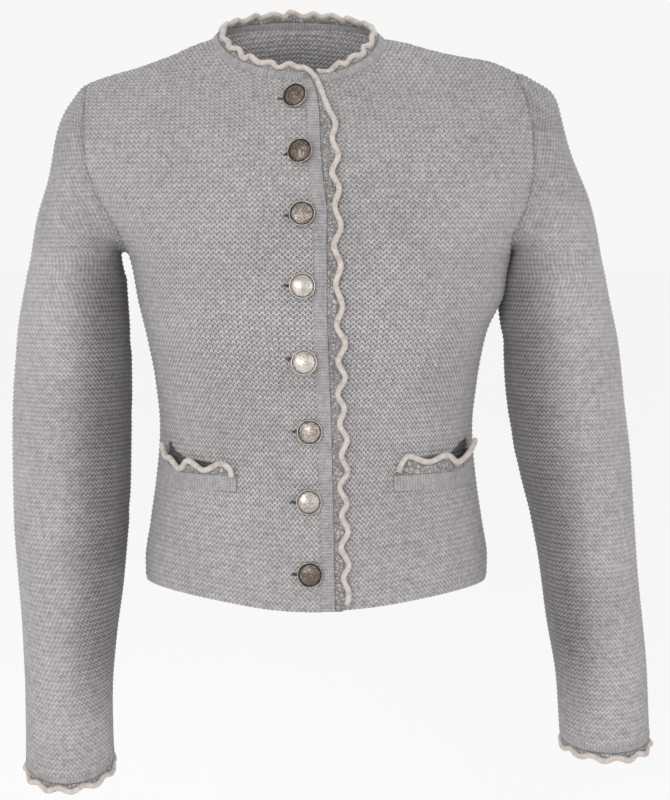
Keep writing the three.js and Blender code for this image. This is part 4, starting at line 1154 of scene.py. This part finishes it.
# %% Cuffs
def cuff_place(surface, table, side):
    end = table[-1][0]
    middle = np.array([(table[-1][1] + table[-1][2]) / 2, table[-1][3], end])

    def at(turn, out, high):
        turn = turn[:, None] + 0 * out
        rim = surface(end, turn)
        ahead = unit(rim - surface(end + 12, turn))
        near = surface(end, turn + 0.01) - surface(end, turn - 0.01)
        normal = unit(np.cross(near, ahead)) * side
        outwards = np.sign(((rim - middle) * normal).sum(-1, keepdims=True))
        normal = normal * outwards
        return rim + ahead * out[..., None] + normal * high[..., None], normal

    return at


CUFF_WAVES = 11
CUFF_BAND = 5.6  # width of the band
CUFF_PLACES = 300
CUFF_PIECES = {}
for name, side, surface, table in (
    ("right", -1, right_sleeve_at, RIGHT_SLEEVE),
    ("left", 1, left_sleeve_at, LEFT_SLEEVE),
):
    place = cuff_place(surface, table, side)
    turn = 2 * np.pi * np.arange(CUFF_PLACES) / CUFF_PLACES
    flat = np.zeros((CUFF_PLACES, 1))
    around = np.linalg.norm(np.diff(place(turn, flat, flat)[0][:, 0], axis=0), axis=1)
    whole = around.sum() * CUFF_PLACES / (CUFF_PLACES - 1)
    along = np.concatenate([[0], np.cumsum(around), [whole]])
    steady = np.ones(CUFF_PLACES)
    out, high = strip_section(BAND_START * steady, CUFF_BAND * steady, 0.4, -2.8)
    rings, _ = place(turn, out, high + 0 * out)
    # Painted shade along the cuff band's outer edge.
    marks = painted_groove_shade(CUFF_BAND - out, 0.15).ravel()
    band = sweep(f"{name}_cuff_band_knit", rings, True, along, marks)
    crest = 11.4 + 1.5 * np.cos(CUFF_WAVES * turn) + 0.7 * np.sin(2 * turn + 0.6)
    rings, marks = scallop_rings(
        lambda out, high: place(turn, out, high),
        (CUFF_BAND + SEWN_GAP) * steady, crest - SCALLOP_END, along, CUFF_WAVES * turn,
    )
    scallops = sweep(f"{name}_cuff_scallop_crochet", rings, True, along, marks)
    flare = 0.9 * np.sin(CUFF_WAVES * turn + 0.8)
    line, line_normal = place(turn, crest[:, None], (flare - 0.2)[:, None])
    cord = knitted_cord(f"{name}_cuff_cord_knit", line[:, 0], line_normal[:, 0], True)
    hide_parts(f"{name}_cuff_band")
    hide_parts(f"{name}_cuff_scallops")
    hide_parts(f"{name}_cuff_cord")
    CUFF_PIECES[name] = [band, scallops, cord]

# %% [markdown]
# A pocket's welt is a band that is sewn down along its lower edge and at both ends. Its upper edge
# is free and stands away from the body towards the middle, and the scallops and the cord stand
# with it.


# %% The pockets' surface
def body_normal(angle, z):
    d = 0.01
    across = body_point(False, angle + d, z) - body_point(False, angle - d, z)
    return unit(np.cross(across, body_point(False, angle, z + 1) - body_point(False, angle, z - 1)))


def pocket_place(side):
    def at(share, up, high):
        share = share[:, None] + 0 * up
        z = POCKET_Z + up
        angle = side * pocket_angle(share)
        normal = body_normal(angle, z)
        point = body_point(False, angle, z)
        beyond = side * (point[..., 0] - lean_at(z))
        lift = lift_at(beyond) if side < 0 else 0
        run = share / POCKET_END["right" if side < 0 else "left"]
        stands = np.sin(np.pi * np.clip(mix(0.04, 0.93, run), 0, 1)) ** 0.8
        gape = mix(1.6, 5.0, smooth(run, 0, 0.8)) * (np.maximum(up, 0) / 22) ** 2 * stands
        return point + normal * (lift + gape + high)[..., None], normal

    return at


print("the pockets' outer ends stand at", POCKET_END, "of the way to the side")

# %% Pockets
POCKET_PLACES = 150
POCKET_PIECES = {}
for name, side in (("right", -1), ("left", 1)):
    place = pocket_place(side)
    share = np.linspace(-0.015, POCKET_END[name], POCKET_PLACES)
    run = place(share, np.full((POCKET_PLACES, 1), 10.0), np.zeros((POCKET_PLACES, 1)))[0][:, 0]
    along = np.concatenate([[0], np.cumsum(np.linalg.norm(np.diff(run, axis=0), axis=1))])
    welt_top = 12.3 + 7 * smooth(share / POCKET_END[name], 0.65, 1.0)
    out, high = strip_section(np.full(POCKET_PLACES, BAND_START), welt_top, 1.7, 0.2, 24, 0.6)
    rings, _ = place(share, out, high + 0 * out)
    # Painted shade at the welt's inner end.
    marks = painted_groove_shade(along[:, None] - 0 * out, 0.5, 0.9)
    welt = sweep(f"{name}_pocket_welt_knit", rings, False, along, marks.ravel())
    cord_share, cord_up = np.array(POCKET_CORDS[name]).T
    t = np.arange(len(cord_share))
    fine = np.linspace(0, t[-1], POCKET_PLACES + 10)
    cord_share, cord_up = curve_through(t, cord_share)(fine), curve_through(t, cord_up)(fine)
    crest = np.interp(share, cord_share, cord_up)
    rings, marks = scallop_rings(
        lambda out, high: place(share, out, high + 2.3),
        welt_top + 0.1, np.maximum(crest - 1.5, welt_top + 1.2), along, 6 * np.pi * share,
    )
    scallops = sweep(f"{name}_pocket_scallop_crochet", rings, False, along, marks)
    line, line_normal = place(cord_share, cord_up[:, None], np.full((len(fine), 1), 2.7))
    cord = knitted_cord(f"{name}_pocket_cord_knit", line[:, 0], line_normal[:, 0], False)
    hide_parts(f"{name}_pocket_welt")
    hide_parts(f"{name}_pocket_scallops")
    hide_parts(f"{name}_pocket_cord")
    POCKET_PIECES[name] = [welt, scallops, cord]

# %% [markdown]
# ## Buttons
# Each button is a shallow dome of cast metal with a thin rolled rim and a shank behind. It is
# turned like a bowl on a lathe: one outline, swept round an axis. A shank lets a button lean, and
# no two of these lean alike, so each one is given the direction that it faces. A leaning button
# needs more room beneath its rim, so it also stands off further.

# %% Turn the buttons
# In the third column the groove's dark is patina in its hollow; the rim's negative values make it
# rubbed bright and also paint a highlight on it.
BUTTON_OUTLINE = [  # radius, height above the cloth, and how dark the old finish is there
    (1.8, -2.6, 1), (1.8, 1.3, 1), (6.0, 1.2, 1), (9.6, 1.5, 0.8), (10.3, 1.9, 0.1),
    (10.5, 2.3, -0.4), (10.4, 2.9, -0.6), (10.1, 3.2, -0.8), (9.75, 3.1, -0.2), (9.5, 2.55, 1),
    (9.2, 2.4, 1), (8.8, 2.7, 0.6), (8.0, 3.2, 0.05), (6.4, 3.75, 0), (4.8, 4.25, 0),
    (3.0, 4.6, 0), (1.4, 4.76, 0), (0.5, 4.8, 0),
]
# A face's darkness is its tarnish, and also painted shade on the faces that catch little light.
BUTTON_FACES = [  # degrees to the wearer's right and upwards, how dark the whole face is, and how
    # far the button hangs from its place: to the wearer's left, and up
    (22, 22, 0.95, 2.1, -3.6), (19, 17, 0.92, 3.6, -2.6), (4, 16, 0.65, 0, -1), (0, 8, 0.2, 0, 0),
    (3, 6, 0.12, 0, 0), (4, 4, 0.5, 2.2, 0), (-3, 2, 0.35, 0, 0), (3, 2, 0.95, 0, -2.4),
]
SIDES = 56
RIM_RADIUS, RIM_LOW = 10.3, 1.2  # the rim's lower edge, which must clear the cloth
outline = np.array(BUTTON_OUTLINE)
turn = 2 * np.pi * np.arange(SIDES) / SIDES
lathe = np.stack(
    [outline[:, :1] * np.cos(turn), outline[:, :1] * np.sin(turn), outline[:, 1:2] + 0 * turn], -1
)
BUTTONS = []
for number, (z, hangs) in enumerate(zip(BUTTON_HEIGHTS, BUTTON_FACES), 1):
    right, up, dark, aside, higher = hangs
    z_here = float(z) + higher
    angle = angle_at(button_line(z) + aside, z_here)
    normal = Vector(body_normal(angle, z_here))
    face = Vector((-math.tan(math.radians(right)), -1, math.tan(math.radians(up)))).normalized()
    stands_off = LAP + 0.2 + max(0, RIM_RADIUS * math.sin(face.angle(normal)) - RIM_LOW)
    centre = Vector(body_point(False, angle, z_here)) + normal * stands_off
    turned = np.array(face.to_track_quat("Z", "Y").to_matrix())
    rings = lathe @ turned.T + np.array(centre)
    # Tarnish and patina, with painted shade on dull faces and a painted highlight on each rim.
    marks = np.repeat(0.55 * dark + 0.45 * outline[:, 2], SIDES)
    button = sweep(f"button_{number}_metal", rings, False, 2.0 * np.arange(len(outline)), marks)
    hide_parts(f"button_{number}")
    BUTTONS.append(button)

# %% [markdown]
# ## Materials
# Each material starts from what the real thing is. One function turns a colour from the sRGB hex
# value that we see to the linear value that Blender computes with, and one adds a node. We think
# of a pattern's size in millimetres, but Blender wants the number of its cells in a metre.


# %% Colour and node helpers
def linear(hex_colour):
    values = [int(hex_colour[i : i + 2], 16) / 255 for i in (0, 2, 4)]
    return (*[v / 12.92 if v <= 0.04045 else ((v + 0.055) / 1.055) ** 2.4 for v in values], 1.0)


def cells(size):
    """The scale of a pattern whose cells are this many millimetres wide."""
    return 1 / (size * MM)


def node(tree, kind, inputs=(), **settings):
    """Adds a node. Its inputs, by place or name, are numbers, colours, sockets or other nodes."""
    made = tree.nodes.new(f"ShaderNode{kind}")
    for name, value in settings.items():
        setattr(made, name, value)
    for key, value in (inputs if isinstance(inputs, dict) else dict(enumerate(inputs))).items():
        if isinstance(value, bpy.types.Node):
            value = value.outputs[0]
        if isinstance(value, bpy.types.NodeSocket):
            tree.links.new(value, made.inputs[key])
        else:
            made.inputs[key].default_value = value
    return made


def new_material(name):
    """An empty material, and the function that adds a node to it."""
    material = bpy.data.materials.new(name)
    material.use_nodes = True
    material.node_tree.nodes.clear()
    print("material", name)
    return material, partial(node, material.node_tree)


print("a middle grey of 808080 is", round(linear("808080")[0], 3), "in linear light")

# %% [markdown]
# **Melange wool.** Wool is matt and faintly hairy, so it is rough, has a soft sheen and no clear
# highlight. Melange yarn is spun from lighter and darker fibres, which gives every stitch a
# slightly different grey. A picture of knitting could give this, but only at one size and seen
# from one side. Noise in three sizes does it for any cloth: fibres, clumps of fibres, and the slow
# drift of the dye. A real fibre is 0.03 mm thick, far too fine to show, so ours are drawn as
# grains of about 1 mm.


# %% Melange yarn
def melange(add, light, middle, dark):
    """The colour of the yarn, and the noise of its fibres."""
    place = add("TexCoord").outputs["Object"]
    grains, total = [], 0.0
    for size, detail, rough, share in (
        (1.11, 3.0, 0.7, 0.75),  # fibres
        (4.76, 2.0, 0.5, 0.5),  # clumps
        (71.4, 2.0, 0.5, 0.25),  # drift of the dye
    ):
        look = {"Vector": place, "Scale": cells(size), "Detail": detail, "Roughness": rough}
        grains.append(add("TexNoise", look))
        total = add("Math", [grains[-1], share, total], operation="MULTIPLY_ADD")
    ramp = add("ValToRGB", [total])
    stops = ramp.color_ramp.elements
    stops[0].position, stops[0].color = 0.55, linear(dark)
    stops[1].position, stops[1].color = 0.95, linear(light)
    stops.new(0.75).color = linear(middle)
    return ramp, grains[0]


def darkened(add, colour, amount, strength):
    """The colour, with painted shade where amount is high."""
    factor = add("Math", [amount, strength], operation="MULTIPLY")
    both = {"Factor": factor, 6: colour, 7: linear("3a3635")}
    return add("Mix", both, data_type="RGBA", blend_type="MULTIPLY").outputs[2]


def finish_wool(add, colour, height, deep, sheen=0.25):
    """Matt, hairy wool. deep is how far its stitches seem to stand out, in millimetres."""
    bump = add("Bump", {"Height": height, "Strength": 1.0, "Distance": deep * MM})
    look = {
        "Base Color": colour,
        "Normal": bump,
        "Roughness": 0.92,
        "IOR": 1.55,
        "Specular IOR Level": 0.25,
        "Sheen Weight": sheen,
        "Sheen Roughness": 0.45,
    }
    add("OutputMaterial", {"Surface": add("BsdfPrincipled", look)})


def wave(add, place, count=1):
    """Rises to 1 and falls to 0 again, count times for each unit of place."""
    turn = add("Math", [place, 2 * math.pi * count], operation="MULTIPLY")
    cosine = add("Math", [turn], operation="COSINE")
    return add("Math", [cosine, 0.5, 0.5], operation="MULTIPLY_ADD")


# %% [markdown]
# **Garter stitch.** Each ridge is a zigzag of light yarn, with a dark gap under each crest and
# above each trough. A sine along the row gives the zigzag, and the product of two sines gives
# exactly those gaps. The rows sway a little, as they do by hand. The texture counts stitches and
# ridges, so the pattern stretches wherever the cloth does, and where the chest opens it the gaps
# are darker.


# %% Garter-stitch wool
STITCH_SWAY, RIDGE_HEAVE = 0.6, 0.17  # how far the yarn wanders, in stitches and in ridges
ZIGZAG = 0.14  # how far a crest of the zigzag climbs, in ridges
# The dark between two ridges and in the gaps is painted shade.
FURROW_DARK, GAP_DARK = 0.54, 0.95  # how dark it is between two ridges, and in a gap


def garter_wool():
    material, add = new_material("melange_wool_garter_knit")
    across, up = add("SeparateXYZ", [add("UVMap", uv_map="knit")]).outputs[:2]
    place = add("TexCoord").outputs["Object"]
    two_stitches = cells(7.69)
    wander = add("TexNoise", {"Vector": place, "Scale": two_stitches, "Detail": 2.0})
    sway, heave = add("SeparateXYZ", [wander.outputs["Color"]]).outputs[:2]
    stitch = add("Math", [sway, STITCH_SWAY, across], operation="MULTIPLY_ADD")
    lowered = add("Math", [up, RIDGE_HEAVE / 2], operation="SUBTRACT")
    ridge = add("Math", [heave, RIDGE_HEAVE, lowered], operation="MULTIPLY_ADD")
    phase = add("Math", [stitch, 2 * math.pi], operation="MULTIPLY")
    zigzag = add("Math", [phase], operation="SINE")
    bent = add("Math", [zigzag, -ZIGZAG, ridge], operation="MULTIPLY_ADD")
    strand = wave(add, bent)
    slope = add("Math", [add("Math", [bent, 2 * math.pi], operation="MULTIPLY")], operation="SINE")
    crossing = add("Math", [zigzag, slope], operation="MULTIPLY")
    gap = add("Math", [crossing, -1.0], operation="MULTIPLY")
    gap = add("Math", [add("Math", [gap, 0.0], operation="MAXIMUM"), 2.2], operation="POWER")
    opened = add("Attribute", attribute_name="open").outputs["Fac"]
    furrow = add("Math", [strand, -FURROW_DARK, FURROW_DARK], operation="MULTIPLY_ADD")
    shown = add("Math", [opened, 0.5, 0.5], operation="MULTIPLY_ADD")
    shade = add("Math", [furrow, shown], operation="MULTIPLY")
    deep = add("Math", [gap, GAP_DARK], operation="MULTIPLY")
    shade = add("Math", [deep, opened, shade], operation="MULTIPLY_ADD")
    marks = add("Attribute", attribute_name="shade").outputs["Fac"]
    shade = add("Math", [shade, marks], operation="ADD")
    shade = add("Math", [shade, 1.0], operation="MINIMUM")
    colour, fibres = melange(add, "d5d2d2", "bcb9b9", "9a9797")
    height = add("Math", [strand, 0.8], operation="MULTIPLY")
    height = add("Math", [gap, -0.5, height], operation="MULTIPLY_ADD")
    height = add("Math", [fibres, 0.35, height], operation="MULTIPLY_ADD")
    finish_wool(add, darkened(add, colour, shade, 0.85), height, 1.1)
    return material


# %% [markdown]
# **Plain-knit wool.** The bands show the smooth side of the knitting, whose stitches are small Vs
# in upright columns. Folding the distance across a column about its middle turns slanted stripes
# into Vs. A stitch of the bands is 2.7 mm wide and 2.6 mm tall. The cord of **undyed wool** is
# knitted in the same way from a softer, cream yarn, with stitches of 2.4 by 1.35 mm and a little
# more sheen.


# %% Plain-knit wool and undyed wool
def knitted_legs(add, wide, tall, slant):
    """Which column of stitches a place is in, and how near it is to the leg of a V."""
    across, up = add("SeparateXYZ", [add("UVMap", uv_map="knit")]).outputs[:2]
    column = add("Math", [across, wide * MM], operation="DIVIDE")
    from_middle = add("Math", [column, 0.5], operation="PINGPONG")
    row = add("Math", [up, tall * MM], operation="DIVIDE")
    return column, wave(add, add("Math", [from_middle, slant, row], operation="MULTIPLY_ADD"))


def plain_wool():
    material, add = new_material("melange_wool_plain_knit")
    column, leg = knitted_legs(add, 2.7, 2.6, 1.1)
    groove = add("Math", [wave(add, column, 2), 0.26, 0.42], operation="MULTIPLY_ADD")
    shade = add("Math", [leg, -0.42, groove], operation="MULTIPLY_ADD")
    marks = add("Attribute", attribute_name="shade").outputs["Fac"]
    shade = add("Math", [shade, marks], operation="MAXIMUM")
    colour, fibres = melange(add, "c4c1c3", "afacae", "918e90")
    height = add("Math", [fibres, 0.4], operation="MULTIPLY")
    height = add("Math", [leg, 0.5, height], operation="MULTIPLY_ADD")
    finish_wool(add, darkened(add, colour, shade, 0.8), height, 0.7)
    return material


def cream_wool():
    material, add = new_material("undyed_wool_knitted_cord")
    leg = knitted_legs(add, 2.4, 1.35, 1.2)[1]
    shade = add("Math", [leg, -0.3, 0.3], operation="MULTIPLY_ADD")
    colour, fibres = melange(add, "e6ddd6", "d2c9c2", "aaa19a")
    height = add("Math", [fibres, 0.5], operation="MULTIPLY")
    height = add("Math", [leg, 0.5, height], operation="MULTIPLY_ADD")
    finish_wool(add, darkened(add, colour, shade, 0.9), height, 0.5, 0.35)
    return material


# %% [markdown]
# **Crocheted wool.** Crochet is a net of loops, without rows. Voronoi cells of 3.3 mm look like
# such loops: the middle of a cell is the hole of a loop, and its border is the groove between two
# of them.


# %% Crocheted wool
def crochet_wool():
    material, add = new_material("melange_wool_crochet")
    net = {"Vector": add("UVMap", uv_map="knit"), "Scale": cells(3.33)}
    to_edge = add("TexVoronoi", net, feature="DISTANCE_TO_EDGE")
    border = add("Math", [to_edge, 4.0], operation="MULTIPLY")
    middle = add("Math", [add("TexVoronoi", net), 2.6], operation="MULTIPLY")
    rim, hole = (
        add("Math", [1.0, add("Math", [far, 1.0], operation="MINIMUM")], operation="SUBTRACT")
        for far in (border, middle)
    )
    hole = add("Math", [hole, 2.0], operation="POWER")
    shade = add("Math", [rim, 0.75, 0.02], operation="MULTIPLY_ADD")
    shade = add("Math", [hole, 0.4, shade], operation="MULTIPLY_ADD")
    marks = add("Attribute", attribute_name="shade").outputs["Fac"]
    shade = add("Math", [shade, marks], operation="MAXIMUM")
    colour, fibres = melange(add, "cac6c4", "aeaaa8", "8f8b8a")
    height = add("Math", [fibres, 0.4], operation="MULTIPLY")
    height = add("Math", [hole, -0.8, height], operation="MULTIPLY_ADD")
    height = add("Math", [rim, -0.5, height], operation="MULTIPLY_ADD")
    finish_wool(add, darkened(add, colour, shade, 0.9), height, 0.9)
    return material


# %% [markdown]
# **Old silver.** These buttons are a cast zinc alloy with a silver finish that was darkened with
# acid and rubbed bright again. The rubbing reaches the high spots only, so the pits stay dark and
# rough. The pits of the casting are half a millimetre wide, too fine to show, so they are drawn at
# 1.2 mm, and blotches of the finish at 4 mm. The pieces carry how dark each place is, from groove
# to rim.


# %% Old silver
def old_silver():
    material, add = new_material("antique_silver_plated_zinc")
    place = add("TexCoord").outputs["Object"]
    pits, blotches = (
        add("TexNoise", {"Vector": place, "Scale": cells(size), "Detail": 2.0})
        for size in (1.176, 3.85)
    )
    specks = add("Math", [blotches, 0.5, pits], operation="MULTIPLY_ADD")
    uneven = add("Math", [specks, 0.74], operation="SUBTRACT")
    marks = add("Attribute", attribute_name="shade").outputs["Fac"]
    dark = add("Math", [marks, uneven], operation="ADD")
    ramp = add("ValToRGB", [dark])
    stops = ramp.color_ramp.elements
    stops[0].color, stops[1].color = linear("c6c0ba"), linear("2c2520")
    stops.new(0.5).color = linear("6c625a")
    look = {
        "Base Color": ramp,
        "Roughness": add("MapRange", {"Value": dark, "To Min": 0.34, "To Max": 0.62}),
        "Normal": add("Bump", {"Height": specks, "Strength": 0.5, "Distance": 0.12 * MM}),
        "Metallic": 1.0,
    }
    add("OutputMaterial", {"Surface": add("BsdfPrincipled", look)})
    return material


# %% [markdown]
# ## Dressing the pieces
# All pieces of one kind share one material, as they share one ball of yarn.

# %% Dress the pieces
trims = (*CUFF_PIECES.values(), *POCKET_PIECES.values())
bands, scallops, cords = (
    [edge_piece] + [pieces[kind] for pieces in trims]
    for kind, edge_piece in enumerate((edge_band, edge_scallops, edge_cord))
)
panels = [right_front, left_front, back, *SLEEVES.values()]
for pieces, make, slot in (
    (panels, garter_wool, "garter_knit"),
    (bands, plain_wool, "plain_knit"),
    (scallops, crochet_wool, "scalloped_edging"),
    (cords, cream_wool, "cream_cord"),
    (BUTTONS, old_silver, "old_silver"),
):
    material = make()
    for piece in pieces:
        piece.data.materials.clear()
        piece.data.materials.append(material)
    print(slot, "on", len(pieces), "pieces")

# %% [markdown]
# ## The knitted pieces
# A sheet of cloth hardly stretches, so it has a flat size. The fronts, the back and the two sleeves
# are the five sheets of knitted cloth.

print("five sheets of knitted cloth are made")

# %% [markdown]
# ## Floor and light
# The cardigan is worn, so it floats at the height of a standing figure over a pale floor. The
# light is that of a small studio: a large soft lamp in front, a little to the left and above, a
# weaker one on the other side, and a bright room all round.


# %% Studio
def area_light(name, at, towards, size, power):
    data = bpy.data.lights.new(name, "AREA")
    data.shape, data.size, data.energy = "DISK", size, power
    lamp = bpy.data.objects.new(name, data)
    bpy.context.scene.collection.objects.link(lamp)
    lamp.location = at
    lamp.rotation_mode = "QUATERNION"
    lamp.rotation_quaternion = (Vector(towards) - Vector(at)).to_track_quat("-Z", "Y")
    print("lamp", name, power, "W")


area_light("key", (-1.0, -2.5, 0.35), (0, 0, -0.3), 1.2, 21)
area_light("fill", (1.6, -2.0, 0.2), (0, 0, -0.35), 1.6, 7)
area_light("top", (0.2, 0.6, 1.9), (0, 0, -0.2), 1.6, 1)

FLOOR_Z, FLOOR_HALF = -0.95, 30.0
ways = ((-1, -1), (1, -1), (1, 1), (-1, 1))
corners = [(x * FLOOR_HALF, y * FLOOR_HALF, FLOOR_Z) for x, y in ways]
floor_mesh = bpy.data.meshes.new("floor")
floor_mesh.from_pydata(corners, [], [(0, 1, 2, 3)])
floor = bpy.data.objects.new("floor", floor_mesh)
bpy.context.scene.collection.objects.link(floor)
floor_material, add = new_material("matt_white_painted_floor")
paint = add("BsdfPrincipled", {"Base Color": linear("fdfdfe"), "Roughness": 0.9})
add("OutputMaterial", {"Surface": paint})
floor_mesh.materials.append(floor_material)

world = bpy.data.worlds.new("studio")
bpy.context.scene.world = world
world.use_nodes = True
room = world.node_tree.nodes["Background"]
room.inputs["Color"].default_value = linear("fbfafa")
room.inputs["Strength"].default_value = 0.97
bpy.context.scene.view_settings.view_transform = "Standard"
